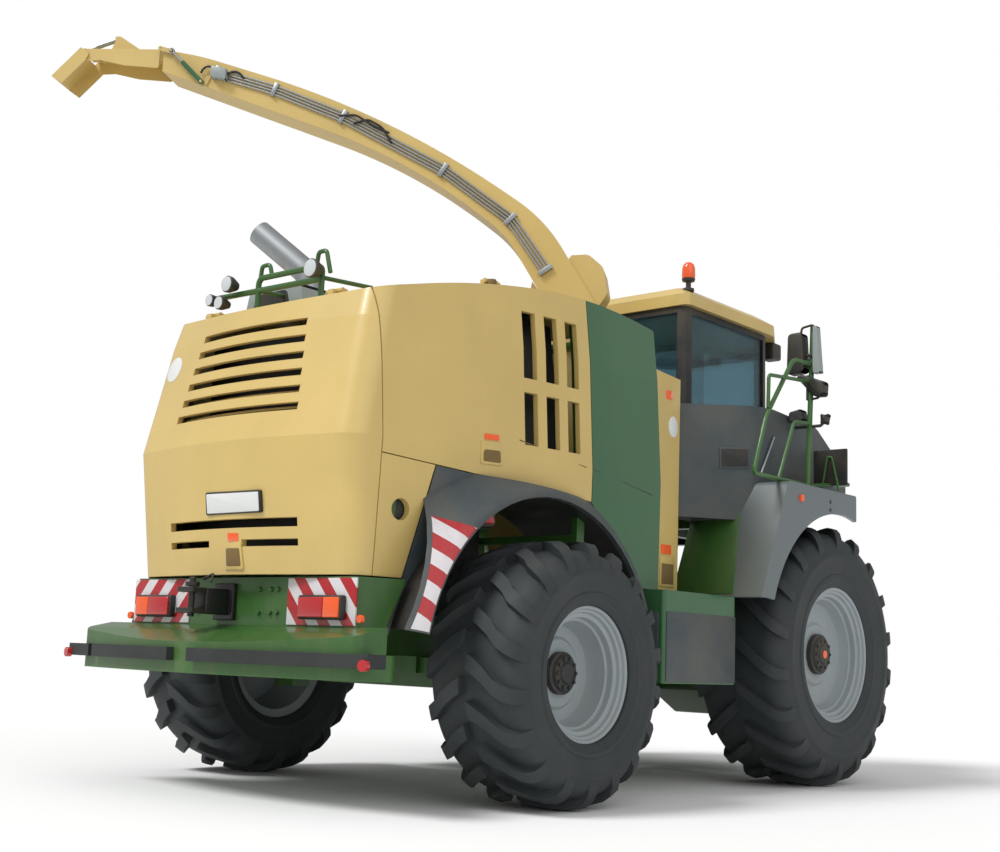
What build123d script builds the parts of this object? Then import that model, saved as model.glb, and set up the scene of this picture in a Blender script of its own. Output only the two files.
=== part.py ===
from build123d import *
import os
from math import atan2, cos, pi, radians, sin, sqrt, tan

# Self-propelled forage harvester, full size, in millimetres.
# +Z is up, -Y is the driving direction, so +X is the machine's left side.
# The origin lies on the ground under the middle of the front axle.

# Running clearances
SEAT = 0.3
SEAM = 6.0
MOVE_GAP = 12.0

# Wheels and axles
WHEELBASE = 3130.0
FRONT_TYRE_R = 965.0
FRONT_TYRE_W = 740.0
FRONT_TYRE_OUT = 1645.0
FRONT_BEAD_R = 490.0
REAR_TYRE_R = 775.0
REAR_TYRE_W = 690.0
REAR_TYRE_OUT = 1695.0
REAR_BEAD_R = 388.0
RIM_FLANGE = 20.0
RIM_SHELL = 14.0
FRONT_RIM_OUT = 1598.0
REAR_RIM_OUT = 1637.0
FRONT_HUB_FACE = 1484.0
REAR_HUB_FACE = 1437.0
FRONT_HUB_R = 150.0
REAR_HUB_R = 125.0
LUG_COUNT = 18
BEAD_SIDES = 36
LUG_DEPTH = 58.0
LUG_WRAP = 190.0
# Lug outline: share of the tyre's half width outboard, share of the lug pitch behind.
LUG_ROWS = (
    (0.0, -0.495),
    (1.04, 0.12),
    (1.04, 0.45),
    (0.0, -0.16),
)
KINGPIN_X = 1020.0
KINGPIN_R = 38.0
KNUCKLE_H = 300.0
AXLE_BEAM_H = 190.0
AXLE_BEAM_D = 170.0

# Chassis
RAIL_X = 330.0
RAIL_W = 90.0
RAIL_Z = 840.0
RAIL_H = 260.0
RAIL_FRONT = -640.0
CROSS_H = 120.0
HOOP_DEPTH = 45.0
HOOP_WIDTH = 70.0
REAR_HOOP_Y = 4130.0

# Engine house: plan sections from the ground up.
# Columns: height, half width at the front, half width at the rear, rear face.
HOUSE_ROWS = (
    (940.0, 1250.0, 985.0, 4470.0),
    (1272.0, 1250.0, 990.0, 4500.0),
    (2050.0, 1258.0, 1005.0, 4600.0),
    (2760.0, 1215.0, 965.0, 4450.0),
    (3320.0, 1150.0, 915.0, 4290.0),
)
HOUSE_FRONT = 1860.0
HOUSE_BOTTOM = 1272.0
HOUSE_BULGE_Y = 2750.0
HOUSE_BULGE_R = 4500.0
HOUSE_CORNER_R = 170.0
HOUSE_REAR_BOW = 40.0
HOUSE_REAR_SET = 115.0
DECK_REAR_Z = 2900.0
DECK_PEAK_Y = 2950.0
DECK_PEAK_Z = 3262.0
DECK_FRONT_Z = 3120.0
DECK_ARC_R = 5500.0
PANEL = 36.0
HOOD_SEAM_Y = 4290.0
BAND_SEAM_Y = 2620.0
FLANK_LOW_REAR_Z = 1965.0
FLANK_LOW_FRONT_Z = 1850.0
DECK_HALF = 880.0
LID_GAP = 6.0
LID_HINGE_R = 14.0
LID_PIN_R = 8.0
FLANK_HINGES = ((2760.0, 2900.0), (3180.0, 3320.0))
HOOD_HINGES = ((-640.0, -500.0), (500.0, 640.0))

# Hood louvres
LOUVRE_COUNT = 6
LOUVRE_LOW_Z = 2230.0
LOUVRE_TOP_Z = 2755.0
LOUVRE_LOW_HALF = 560.0
LOUVRE_TOP_HALF = 480.0
LOUVRE_H = 46.0
GRILLE_HALF = 585.0
GRILLE_Z = 1566.0
GRILLE_H = 52.0
GRILLE_LOW_Z = 1452.0
GRILLE_LOW_H = 40.0

# Rear fender and stripes
ARCH_Y = 3095.0
ARCH_Z = 745.0
ARCH_R = 1075.0
FENDER_OUT = 1300.0
FENDER_LIP = 78.0
FENDER_BOTTOM = 950.0
FENDER_REAR_TOP_Y = 4080.0
FENDER_REAR_LOW_Y = 4300.0

# Rear beam, bumper and coupling
BEAM_HALF = 990.0
BEAM_REAR = 4400.0
BEAM_BOTTOM = 950.0
BEAM_TOP = 1262.0
BEAM_PLATE = 16.0
BEAM_SIDE_Y = 4105.0
BEAM_SIDE_LOW_Y = 4225.0
BEAM_SIDE_HALF = 1085.0
BUMPER_HALF = 1260.0
BUMPER_MID_Y = 4790.0
BUMPER_END_Y = 4600.0
BUMPER_TOP = 985.0
BUMPER_NOSE_Z = 860.0
BUMPER_BOTTOM = 700.0
STRIP_HALF = 1360.0
STRIP_H = 75.0
STRIP_Z = 805.0
STRIP_D = 45.0
COUPLING_X = 100.0
COUPLING_Y = 4720.0
COUPLING_PIN_R = 19.0

# Cab
CAB_HALF = 850.0
CAB_REAR = 950.0
CAB_SIDE_FRONT = -260.0
CAB_NOSE = -820.0
CAB_FLOOR = 1960.0
CAB_SILL = 2780.0
CAB_HEAD = 3560.0
CAB_POST = 70.0
CAB_ROOF_TOP = 3720.0
CAB_ROOF_OVER = 60.0
GLASS = 8.0
DOOR_GAP = 8.0
DOOR_BOTTOM = 2232.0
DOOR_REAR = 862.0
DOOR_HINGE_X = CAB_HALF + 16.0
DOOR_HINGES = ((2420.0, 2560.0), (3240.0, 3380.0))

# Front fenders and side boxes
FENDER_TOP = 2185.0
SIDE_BOX_OUT = 1430.0
SIDE_BOX_IN = 760.0
SIDE_BOX_FRONT = 1150.0
SIDE_BOX_REAR = 2050.0
SIDE_BOX_LOW = 725.0
SIDE_BOX_TOP = 1330.0

# Discharge spout: heading measured from straight back towards the left side.
# Points in the spout's own plane are (reach along the heading, height).
SPOUT_Y = 1560.0
SPOUT_HEADING = 60.0
RING_R = 430.0
RING_Z = 3180.0
RING_H = 45.0
RING_BORE = 250.0
TOWER_HALF = 300.0
TOWER_FRONT = 1250.0
LIFT_REACH = -235.0
LIFT_Z = 3420.0
LIFT_PIN_R = 28.0
CHEEK_T = 16.0
CHANNEL_HALF = 160.0
CHANNEL_WALL = 8.0
CHANNEL_TOP = (
    (-400.0, 3458.0),
    (36.0, 4170.0, 1300.0),
    (1278.0, 5055.0, 8000.0),
    (2932.0, 5625.0, 2500.0),
    (3270.0, 5698.0),
)
CHANNEL_UNDER = (
    (3270.0, 5512.0),
    (1134.0, 4679.0, 5000.0),
    (336.0, 4056.0, 1000.0),
    (-119.0, 3304.0),
)
FLAP_HINGE = (3292.0, 5712.0)
FLAP_HALF = CHANNEL_HALF - CHANNEL_WALL - MOVE_GAP / 2
FLAP_WALL = 6.0
TIP_HINGE = (4028.0, 5752.0)
TIP_DROP = 45.0
TIP_LENGTH = 335.0
TIP_DEPTH = 122.0
HINGE_R = 14.0
HINGE_PIN_R = 8.0

# Cylinders of the spout: eye on the carrier, eye at the rod, both in the spout's plane.
LIFT_FOOT = (400.0, 3300.0)
LIFT_EYE = (115.0, 3560.0)
FLAP_FOOT = (2905.0, 5387.0)
FLAP_EYE = (3183.0, 5666.0)
TIP_FOOT = (3763.0, 5882.0)
TIP_EYE = (4062.0, 5790.0)

# Crop intake
INTAKE_HALF = 520.0
INTAKE_FRONT = -1480.0
ROLL_LENGTH = 800.0
ROLL_SHAFT_R = 32.0
ROLL_BARS = 10
# Columns: y, z, radius over the bars.
ROLLS = (
    (-1255.0, 655.0, 150.0),
    (-1235.0, 1010.0, 135.0),
)

SKEW = 1600.0


def outline(points, plane):
    """Closed face on a plane; each row is (u, v) or (u, v, corner radius)."""
    corners = [(p[0], p[1]) for p in points]
    radii = [p[2] if len(p) > 2 else 0 for p in points]
    return plane * make_face(FilletPolyline(*corners, radius=radii, close=True).edges())


def slab_x(points, x0, x1):
    """Prism along X from a (y, z) outline."""
    plane = Plane(origin=(x0, 0, 0), x_dir=(0, 1, 0), z_dir=(1, 0, 0))
    return extrude(outline(points, plane), x1 - x0)


def slab_y(points, y0, y1):
    """Prism along Y from an (x, z) outline."""
    plane = Plane(origin=(0, y1, 0), x_dir=(1, 0, 0), z_dir=(0, -1, 0))
    return extrude(outline(points, plane), y1 - y0)


def slab_z(points, z0, z1):
    """Prism along Z from an (x, y) outline."""
    return extrude(outline(points, Plane(origin=(0, 0, z0))), z1 - z0)


def block(x0, x1, y0, y1, z0, z1):
    size = (x1 - x0, y1 - y0, z1 - z0)
    centre = ((x0 + x1) / 2, (y0 + y1) / 2, (z0 + z1) / 2)
    return Pos(*centre) * Box(*size)


def rod(start, end, radius):
    """Cylinder from one point to another."""
    a, b = Vector(*start), Vector(*end)
    plane = Plane(origin=a, z_dir=(b - a).normalized())
    return extrude(plane * Circle(radius), (b - a).length)


def tube(points, radius, bend):
    """Round bar along a bent path of straight runs and arcs."""
    path = FilletPolyline(*points, radius=bend) if len(points) > 2 else Line(*points)
    start = Plane(origin=path @ 0, z_dir=path % 0)
    return sweep(start * Circle(radius), path=path)


def lathe_x(profile, centre, side):
    """Solid of revolution about X; the profile holds (distance outboard, radius) rows."""
    rows = [(side * p[0], p[1], *p[2:]) for p in profile]
    face = outline(rows, Plane(origin=(0, 0, 0), x_dir=(1, 0, 0), z_dir=(0, -1, 0)))
    return Pos(0, centre[1], centre[2]) * revolve(face, Axis.X)


def both(shape):
    """A right-hand piece together with its mirror image on the left."""
    return [shape, mirror(shape, about=Plane.YZ)]


def join(pieces):
    """Fuse pieces into one shape."""
    first, *rest = pieces
    return first.fuse(*rest) if rest else first


def hinge(start, end, radius, pin_r):
    """Hinge on a line: the outer knuckles with their pin, and the middle sleeve."""
    a, b = Vector(*start), Vector(*end)
    third = (b - a) / 3
    gap = (b - a).normalized() * 1.0
    pin = rod(start, end, pin_r)
    outer = rod(start, tuple(a + third - gap), radius).fuse(rod(tuple(b - third + gap), end, radius), pin)
    sleeve = rod(tuple(a + third), tuple(b - third), radius)
    return outer, sleeve - rod(start, end, pin_r + SEAT)


# Wheels


def drum(rows, middle, sides, angle=0.0):
    """Many-sided drum along X; each row is (distance from the middle plane, radius)."""
    faces = []
    for x, radius in rows:
        plane = Plane(origin=(middle + x, 0, 0), x_dir=(0, 1, 0), z_dir=(1, 0, 0))
        faces.append(plane * Rot(0, 0, angle) * RegularPolygon(radius, sides))
    return loft(faces, ruled=True)


def tyre(side, y, radius, width, outer, bead):
    """Tyre with chevron lugs that wrap its shoulders; side is -1 on the right."""
    half, middle = width / 2, outer - width / 2
    tread = radius - LUG_DEPTH
    crest = radius / cos(pi / 2 / LUG_COUNT)
    carcass_rows = ((0, tread), (half - 70, tread), (half, (bead + radius) / 2), (half - 55, bead + 15))
    lug_rows = ((-10, crest), (half - 50, crest), (half - 5, radius - LUG_WRAP))
    pitch = 2 * pi * radius / LUG_COUNT
    pieces = []
    for way in (-1, 1):
        turned = 90 - 180 / LUG_COUNT + 90 / LUG_COUNT * way
        pieces.append(drum([(way * x, r) for x, r in carcass_rows], middle, LUG_COUNT, turned))
        limit = drum([(way * x, r) for x, r in lug_rows], middle, LUG_COUNT, turned)
        rows = [(middle + way * u * half, v * pitch) for u, v in LUG_ROWS]
        bar = extrude(outline(rows, Plane(origin=(0, 0, radius - LUG_WRAP))), LUG_WRAP + 20)
        for i in range(LUG_COUNT):
            pieces.append(bar.rotate(Axis.X, 360 / LUG_COUNT * i + 90 / LUG_COUNT * way) & limit)
    seat = drum(((-half, bead / cos(pi / BEAD_SIDES)), (half, bead / cos(pi / BEAD_SIDES))), middle, BEAD_SIDES)
    body = Pos(0, y, radius) * (join(pieces) - seat)
    return body if side > 0 else mirror(body, about=Plane.YZ)


def rim(side, y, height, outer, width, bead, hub_face, hub_r):
    """Dished rim with its disc and hub, seated in the tyre's bead."""
    inner = 2 * (outer_mid(outer, width)) - outer
    seat = bead - SEAT
    well = seat - 55
    bore = seat - RIM_SHELL
    profile = (
        (outer, seat - 4),
        (outer, bore),
        (outer - 60, bore),
        (outer - 110, well - RIM_SHELL),
        (hub_face - 40, well - RIM_SHELL),
        (hub_face - 40, hub_r),
        (hub_face, hub_r),
        (hub_face, 1),
        (hub_face - 110, 1),
        (hub_face - 110, hub_r),
        (hub_face - 70, hub_r + 40),
        (hub_face - 70, well - RIM_SHELL),
        (inner + 80, well - RIM_SHELL),
        (inner + 40, bore),
        (inner, bore),
        (inner, seat),
        (inner + 55, seat),
        (inner + 95, well),
        (outer - 125, well),
        (outer - 75, seat),
        (outer, seat),
    )
    return lathe_x(profile, (0, y, height), side)


def outer_mid(outer, width):
    """Distance from the machine's middle plane to a wheel's own middle plane."""
    return outer - width / 2


def hub_core(side, y, height, hub_face, hub_r):
    """Hub cap that closes the middle of the rim."""
    face = side * hub_face
    return rod((side * (hub_face - 110), y, height), (face, y, height), hub_r - 1)


def wheel(side, y, radius, width, outer, bead, rim_out, hub_face, hub_r):
    centre_width = 2 * (rim_out - (outer - width / 2))
    body = rim(side, y, radius, rim_out, centre_width, bead, hub_face, hub_r)
    return (
        tyre(side, y, radius, width, outer, bead),
        body.fuse(hub_core(side, y, radius, hub_face, hub_r + 5)),
    )


# Axles


def front_axle():
    """Drive axle between the two front hubs."""
    z = FRONT_TYRE_R
    end = FRONT_HUB_FACE - 110 - SEAT
    inner, outer = RAIL_X - RAIL_W / 2 - SEAT, RAIL_X + RAIL_W / 2 + SEAT
    solids = [slab_y(((-inner, z - 150), (inner, z - 150), (inner, z + 150), (-inner, z + 150)), -140, 140)]
    for side in (-1, 1):
        x0, x1 = sorted((side * outer, side * 620))
        solids.append(
            join(
                [
                    block(x0, x1, -150, 150, z - 160, z + 150),
                    rod((side * 600, 0, z), (side * (end - 160), 0, z), 120),
                    rod((side * (end - 170), 0, z), (side * end, 0, z), 150),
                ]
            )
        )
    return solids


def rear_axle():
    """Steering axle beam with a fork at each end for its knuckle."""
    z = REAR_TYRE_R
    half_h = AXLE_BEAM_H / 2
    reach = KINGPIN_X - 130
    beam = slab_y(
        (
            (-reach, z - half_h + 30, 20),
            (-500, z - half_h - 30, 60),
            (500, z - half_h - 30, 60),
            (reach, z - half_h + 30, 20),
            (reach, z + half_h - 35),
            (-reach, z + half_h - 35),
        ),
        WHEELBASE - AXLE_BEAM_D / 2,
        WHEELBASE + AXLE_BEAM_D / 2,
    )
    pieces = [beam]
    for side in (-1, 1):
        x0, x1 = sorted((side * (KINGPIN_X - 190), side * (KINGPIN_X - 110)))
        pieces.append(block(x0, x1, WHEELBASE - 75, WHEELBASE + 75, z - 170, z + 170))
        for low, high in ((z - 170, z - 130), (z + 130, z + 170)):
            x0, x1 = sorted((side * (KINGPIN_X - 150), side * KINGPIN_X))
            ear = block(x0, x1, WHEELBASE - 60, WHEELBASE + 60, low, high)
            tip = Pos(side * KINGPIN_X, WHEELBASE, (low + high) / 2) * Cylinder(60, high - low)
            pieces += [ear, tip]
    mount = block(-RAIL_X - RAIL_W / 2, RAIL_X + RAIL_W / 2, WHEELBASE - 120, WHEELBASE + 120, z - 40, RAIL_Z - SEAT)
    pieces.append(mount)
    body = join(pieces)
    for side in (-1, 1):
        hole = Pos(side * KINGPIN_X, WHEELBASE, z) * Cylinder(KINGPIN_R + SEAT, 400)
        body = body - hole
    return body


def knuckle(side):
    """Knuckle turning on its kingpin, with the stub that carries the hub."""
    z = REAR_TYRE_R
    centre = Pos(side * KINGPIN_X, WHEELBASE, z)
    body = centre * Cylinder(70, 2 * (130 - 6))
    pin = centre * Cylinder(KINGPIN_R, 2 * 172)
    end = REAR_HUB_FACE - 110 - SEAT
    stub = rod((side * KINGPIN_X, WHEELBASE, z), (side * end, WHEELBASE, z), 62)
    flange = rod((side * (end - 70), WHEELBASE, z), (side * end, WHEELBASE, z), 118)
    return join([body, pin, stub, flange])


# Engine house


def house_section(row, inset):
    """Plan outline of the engine house at one height."""
    height, half_front, half_rear, rear = row
    front, back = half_front - inset, half_rear - inset
    rear_mid = rear + HOUSE_REAR_BOW - inset
    rear_end = rear - HOUSE_REAR_SET - inset
    y0 = HOUSE_FRONT - 60
    rows = (
        (-front, y0),
        (front, y0),
        (front, HOUSE_BULGE_Y, HOUSE_BULGE_R),
        (back, rear_end, HOUSE_CORNER_R),
        (0, rear_mid, 3000),
        (-back, rear_end, HOUSE_CORNER_R),
        (-front, HOUSE_BULGE_Y, HOUSE_BULGE_R),
    )
    return outline(rows, Plane(origin=(0, 0, height)))


def house_volume(inset):
    """Whole outer form of the engine house, shrunk inwards by inset."""
    body = loft([house_section(row, inset) for row in HOUSE_ROWS], ruled=True)
    top = (
        (HOUSE_FRONT - 60, 800),
        (4800, 800),
        (4800, DECK_REAR_Z - inset - 80),
        (4420, DECK_REAR_Z - inset, 60),
        (DECK_PEAK_Y, DECK_PEAK_Z - inset, DECK_ARC_R),
        (HOUSE_FRONT - 60, DECK_FRONT_Z - inset),
    )
    return body & slab_x(top, -SKEW, SKEW)


def house_shell():
    return house_volume(0) - house_volume(PANEL)


def deck_z(y):
    """Height of the deck's outer surface at a place along the machine."""
    peak, low, front = (DECK_PEAK_Y, DECK_PEAK_Z), (4420.0, DECK_REAR_Z), (HOUSE_FRONT - 60, DECK_FRONT_Z)
    fall = atan2(peak[1] - low[1], low[0] - peak[0])
    rise = atan2(peak[1] - front[1], peak[0] - front[0])
    reach = DECK_ARC_R * tan((fall + rise) / 2)
    if y > peak[0] + reach * cos(fall):
        return peak[1] - (y - peak[0]) * tan(fall)
    if y < peak[0] - reach * cos(rise):
        return peak[1] - (peak[0] - y) * tan(rise)
    mid_y = peak[0] + reach * cos(fall) - DECK_ARC_R * sin(fall)
    mid_z = peak[1] - reach * sin(fall) - DECK_ARC_R * cos(fall)
    return mid_z + sqrt(DECK_ARC_R**2 - (y - mid_y) ** 2)


def flank_hinge_z():
    return max(deck_z(2600 + 50 * i) for i in range(20)) + LID_HINGE_R + LID_GAP


def hood_hinge_z():
    return deck_z(HOOD_SEAM_Y) + LID_HINGE_R + LID_GAP


def flank_hinges():
    """Hinge knuckles of the right flank: those of the deck and those of the flank."""
    x, z = -DECK_HALF - SEAM / 2, flank_hinge_z()
    fixed, moving = [], []
    for y0, y1 in FLANK_HINGES:
        outer, sleeve = hinge((x, y0, z), (x, y1, z), LID_HINGE_R, LID_PIN_R)
        third = (y1 - y0) / 3
        low = min(deck_z(y0), deck_z(y1)) - 20
        fixed.append(outer)
        for a, b in ((y0, y0 + third - 1), (y1 - third + 1, y1)):
            fixed.append(block(x + 4, x + 34, a, b, low, z + 6))
        moving.append(sleeve)
        moving.append(block(x - 34, x - 9, y0 + third, y1 - third, low, z + 6))
    return fixed, moving


def hood_hinges():
    """Hinge knuckles between deck and hood."""
    y, z = HOOD_SEAM_Y - SEAM / 2, hood_hinge_z()
    fixed, moving = [], []
    for x0, x1 in HOOD_HINGES:
        outer, sleeve = hinge((x0, y, z), (x1, y, z), LID_HINGE_R, LID_PIN_R)
        third = (x1 - x0) / 3
        fixed.append(outer)
        for a, b in ((x0, x0 + third - 1), (x1 - third + 1, x1)):
            fixed.append(block(a, b, y - 34, y - 5, z - 30, z + 8))
        moving.append(sleeve)
        moving.append(block(x0 + third, x1 - third, y + 9, y + 40, z - 40, z + 4))
    return fixed, moving


def door_hinges():
    """Hinge knuckles of the cab door: those of the cab and those of the door."""
    fixed, moving = [], []
    for z0, z1 in DOOR_HINGES:
        x, y = DOOR_HINGE_X, DOOR_REAR
        outer, sleeve = hinge((x, y, z0), (x, y, z1), LID_HINGE_R, LID_PIN_R)
        third = (z1 - z0) / 3
        fixed.append(outer)
        for a, b in ((z0, z0 + third - 1), (z1 - third + 1, z1)):
            fixed.append(block(x - 40, x, y + 5, y + 14, a, b))
        moving.append(sleeve)
        moving.append(block(x - 40, x, y - 14, y - 9, z0 + third, z1 - third))
    return fixed, moving


def below_flank(y):
    """Height of the flank's lower edge."""
    share = (y - BAND_SEAM_Y) / (HOOD_SEAM_Y - BAND_SEAM_Y)
    return FLANK_LOW_FRONT_Z + share * (FLANK_LOW_REAR_Z - FLANK_LOW_FRONT_Z)


def rear_hood(shell):
    """Tail hood with its louvres, lower grille and hinge sleeves."""
    body = shell & block(-SKEW, SKEW, HOOD_SEAM_Y, 5000, HOUSE_BOTTOM, 3400)
    step = (LOUVRE_TOP_Z - LOUVRE_LOW_Z) / (LOUVRE_COUNT - 1)
    for i in range(LOUVRE_COUNT):
        share = i / (LOUVRE_COUNT - 1)
        half = LOUVRE_LOW_HALF + share * (LOUVRE_TOP_HALF - LOUVRE_LOW_HALF)
        z = LOUVRE_LOW_Z + i * step
        body = body - block(-half, half, 4350, 4800, z - LOUVRE_H / 2, z + LOUVRE_H / 2)
    slots = (
        (-GRILLE_HALF, GRILLE_HALF, GRILLE_Z, GRILLE_H),
        (-GRILLE_HALF, -150, GRILLE_LOW_Z, GRILLE_LOW_H),
        (150, GRILLE_HALF, GRILLE_LOW_Z, GRILLE_LOW_H),
    )
    for x0, x1, z, height in slots:
        body = body - block(x0, x1, 4350, 4800, z - height / 2, z + height / 2)
    return body.fuse(*hood_hinges()[1])


def flank(shell):
    """Upper side cover on the right, with its air openings."""
    y0, y1 = BAND_SEAM_Y + SEAM, HOOD_SEAM_Y - SEAM
    region = slab_x(
        (
            (y0, FLANK_LOW_FRONT_Z),
            (y1, FLANK_LOW_REAR_Z),
            (y1, 3400),
            (y0, 3400),
        ),
        -SKEW,
        -DECK_HALF - SEAM,
    )
    body = shell & region
    for i in range(3):
        y = 2740 + i * 185
        body = body - block(-SKEW, -1000, y, y + 110, 2560, 2990)
        body = body - block(-SKEW, -1000, y, y + 110, 2140, 2470)
    return body.fuse(*flank_hinges()[1])


def deck_cover(shell):
    """Fixed top cover between the flanks, from the spout to the hood."""
    body = shell & block(-DECK_HALF, DECK_HALF, SPOUT_Y + RING_R + 40, HOOD_SEAM_Y - SEAM, 2700, 3400)
    knuckles = flank_hinges()[0]
    knuckles += [mirror(piece, about=Plane.YZ) for piece in knuckles]
    return body.fuse(*knuckles, *hood_hinges()[0])


def corner_panel(shell):
    """Lower rear corner panel on the right, with its round opening."""
    region = slab_x(
        (
            (HOOD_SEAM_Y - SEAM, HOUSE_BOTTOM),
            (HOOD_SEAM_Y - SEAM, below_flank(HOOD_SEAM_Y) - SEAM),
            (3905, below_flank(3905) - SEAM),
            (FENDER_REAR_TOP_Y + 10, HOUSE_BOTTOM),
        ),
        -SKEW,
        -600,
    )
    return (shell & region) - rod((-SKEW, 4130, 1655), (-700, 4130, 1655), 62)


def side_band(shell):
    """Glossy upright side panel between flank and cab on the right."""
    region = slab_x(
        (
            (HOUSE_FRONT, SIDE_BOX_TOP + SEAM),
            (SIDE_BOX_REAR + SEAM, SIDE_BOX_TOP + SEAM),
            (SIDE_BOX_REAR + SEAM, 1000),
            (2120, 1000),
            (2120, 1400),
            (BAND_SEAM_Y, 1840),
            (BAND_SEAM_Y, 3400),
            (HOUSE_FRONT, 3400),
        ),
        -SKEW,
        -DECK_HALF - SEAM,
    )
    arch = rod((-SKEW, ARCH_Y, ARCH_Z), (-600, ARCH_Y, ARCH_Z), ARCH_R + 40)
    return (shell & region) - arch


def rear_fender(shell):
    """Rear mudguard on the right: skin below the flank and a lipped arch."""
    region = slab_x(
        (
            (2090, FENDER_BOTTOM + 250),
            (BAND_SEAM_Y + SEAM, below_flank(BAND_SEAM_Y) - SEAM),
            (3895, below_flank(3895) - SEAM),
            (FENDER_REAR_TOP_Y - SEAM, HOUSE_BOTTOM),
            (FENDER_REAR_LOW_Y - 40, FENDER_BOTTOM),
            (2200, FENDER_BOTTOM),
        ),
        -SKEW,
        -600,
    )
    y0 = BAND_SEAM_Y + SEAM
    skin = (shell & region) & block(-SKEW, 0, y0, 4600, FENDER_BOTTOM, 2200)
    skin = skin - rod((-SKEW, ARCH_Y, ARCH_Z), (-600, ARCH_Y, ARCH_Z), ARCH_R)
    outer = rod((-FENDER_OUT - 20, ARCH_Y, ARCH_Z), (-FENDER_OUT + FENDER_LIP, ARCH_Y, ARCH_Z), ARCH_R + 30)
    inner = rod((-SKEW, ARCH_Y, ARCH_Z), (-600, ARCH_Y, ARCH_Z), ARCH_R)
    lip = (outer - inner) & block(-SKEW, 0, SIDE_BOX_REAR + MOVE_GAP, 4170, 1010, 2200)
    return lip.fuse(skin)


# Chassis


def chassis_frame():
    """Two rails with their cross members."""
    pieces = []
    rear = BEAM_REAR - BEAM_PLATE - SEAT
    for side in (-1, 1):
        x0, x1 = sorted((side * (RAIL_X - RAIL_W / 2), side * (RAIL_X + RAIL_W / 2)))
        pieces.append(block(x0, x1, RAIL_FRONT, rear, RAIL_Z, RAIL_Z + RAIL_H))
    for y in (-560, 430, 1250, 2050, 3950, rear - 60):
        pieces.append(block(-RAIL_X, RAIL_X, y - 50, y + 50, RAIL_Z + 20, RAIL_Z + 20 + CROSS_H))
    return join(pieces)


def cover_hoops():
    """Three hoops on the rails that carry the engine house's covers."""
    inner = house_volume(PANEL + HOOP_DEPTH)
    outer, loose = house_volume(PANEL + SEAT), house_volume(PANEL + LID_GAP)
    tight_shell, loose_shell = outer - inner, loose - inner
    # Columns: place, height of the cross bar, height up to which the fixed panels seat.
    rows = (
        (HOUSE_FRONT + 40, SIDE_BOX_TOP + 10, DECK_PEAK_Z),
        (BAND_SEAM_Y + 20, 2 * REAR_TYRE_R + 40, below_flank(BAND_SEAM_Y + 20) - SEAM),
        (REAR_HOOP_Y, BEAM_TOP + 28, below_flank(REAR_HOOP_Y) - SEAM),
    )
    hoops = []
    for y, bar, tight_top in rows:
        y1 = y + HOOP_WIDTH
        low = tight_shell & block(-SKEW, SKEW, y, y1, bar, tight_top)
        lid = tight_shell & block(-DECK_HALF + 20, DECK_HALF - 20, y, y1, 2600, 3400)
        arch = loose_shell & block(-SKEW, SKEW, y, y1, bar, 3400)
        floor = loose & block(-SKEW, SKEW, y, y1, bar, bar + HOOP_DEPTH)
        posts = []
        for side in (-1, 1):
            x0, x1 = sorted((side * (RAIL_X - RAIL_W / 2), side * (RAIL_X + RAIL_W / 2)))
            posts.append(block(x0, x1, y, y1, RAIL_Z + RAIL_H + SEAT, bar + 10))
        hoops.append(join([arch, low, lid, floor, *posts]))
    return hoops


def engine_block():
    """Engine with its coolers as one plain mass."""
    z0 = RAIL_Z + RAIL_H + SEAT
    return block(-430, 430, 2760, 4100, z0 + 200, 2300).fuse(block(-RAIL_X, RAIL_X, 2800, 4050, z0, z0 + 220))


# Rear end


def rear_beam():
    """Rear cross beam with swept side plates and the coupling frame."""
    outer = slab_z(
        (
            (-BEAM_HALF, BEAM_REAR),
            (BEAM_HALF, BEAM_REAR),
            (BEAM_SIDE_HALF, BEAM_SIDE_Y),
            (-BEAM_SIDE_HALF, BEAM_SIDE_Y),
        ),
        BEAM_BOTTOM,
        BEAM_TOP,
    )
    t = BEAM_PLATE
    inner = slab_z(
        (
            (-BEAM_HALF + t, BEAM_REAR - t),
            (BEAM_HALF - t, BEAM_REAR - t),
            (BEAM_SIDE_HALF - t, BEAM_SIDE_Y - t),
            (-BEAM_SIDE_HALF + t, BEAM_SIDE_Y - t),
        ),
        BEAM_BOTTOM - 10,
        BEAM_TOP - t,
    )
    slant = slab_x(
        (
            (BEAM_SIDE_Y - 60, BEAM_BOTTOM - 10),
            (BEAM_SIDE_LOW_Y, BEAM_BOTTOM - 10),
            (BEAM_SIDE_Y, BEAM_TOP - 20),
            (BEAM_SIDE_Y - 60, BEAM_TOP - 20),
        ),
        -SKEW,
        SKEW,
    )
    body = outer - inner - slant
    return body - block(-940, 940, BEAM_SIDE_Y - 10, 4260, BEAM_TOP - 60, BEAM_TOP + 10)


def bumper():
    """Counterweight bumper: bowed in plan, with a rounded, sloping top."""
    plan = slab_z(
        (
            (-BUMPER_HALF, 4300, 60),
            (BUMPER_HALF, 4300, 60),
            (BUMPER_HALF, BUMPER_END_Y, 90),
            (0, BUMPER_MID_Y + 60, 4200),
            (-BUMPER_HALF, BUMPER_END_Y, 90),
        ),
        BUMPER_BOTTOM,
        BUMPER_TOP,
    )
    side = slab_x(
        (
            (4290, BUMPER_BOTTOM),
            (4900, BUMPER_BOTTOM),
            (4900, BUMPER_BOTTOM + 60),
            (4810, BUMPER_NOSE_Z, 50),
            (4560, BUMPER_TOP - 35, 200),
            (BEAM_REAR, BUMPER_TOP),
            (4290, BUMPER_TOP),
        ),
        -SKEW,
        SKEW,
    )
    body = plan & side
    return body - block(-SKEW, SKEW, 4200, BEAM_REAR + SEAT, RAIL_Z - SEAT, 1200)


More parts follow.
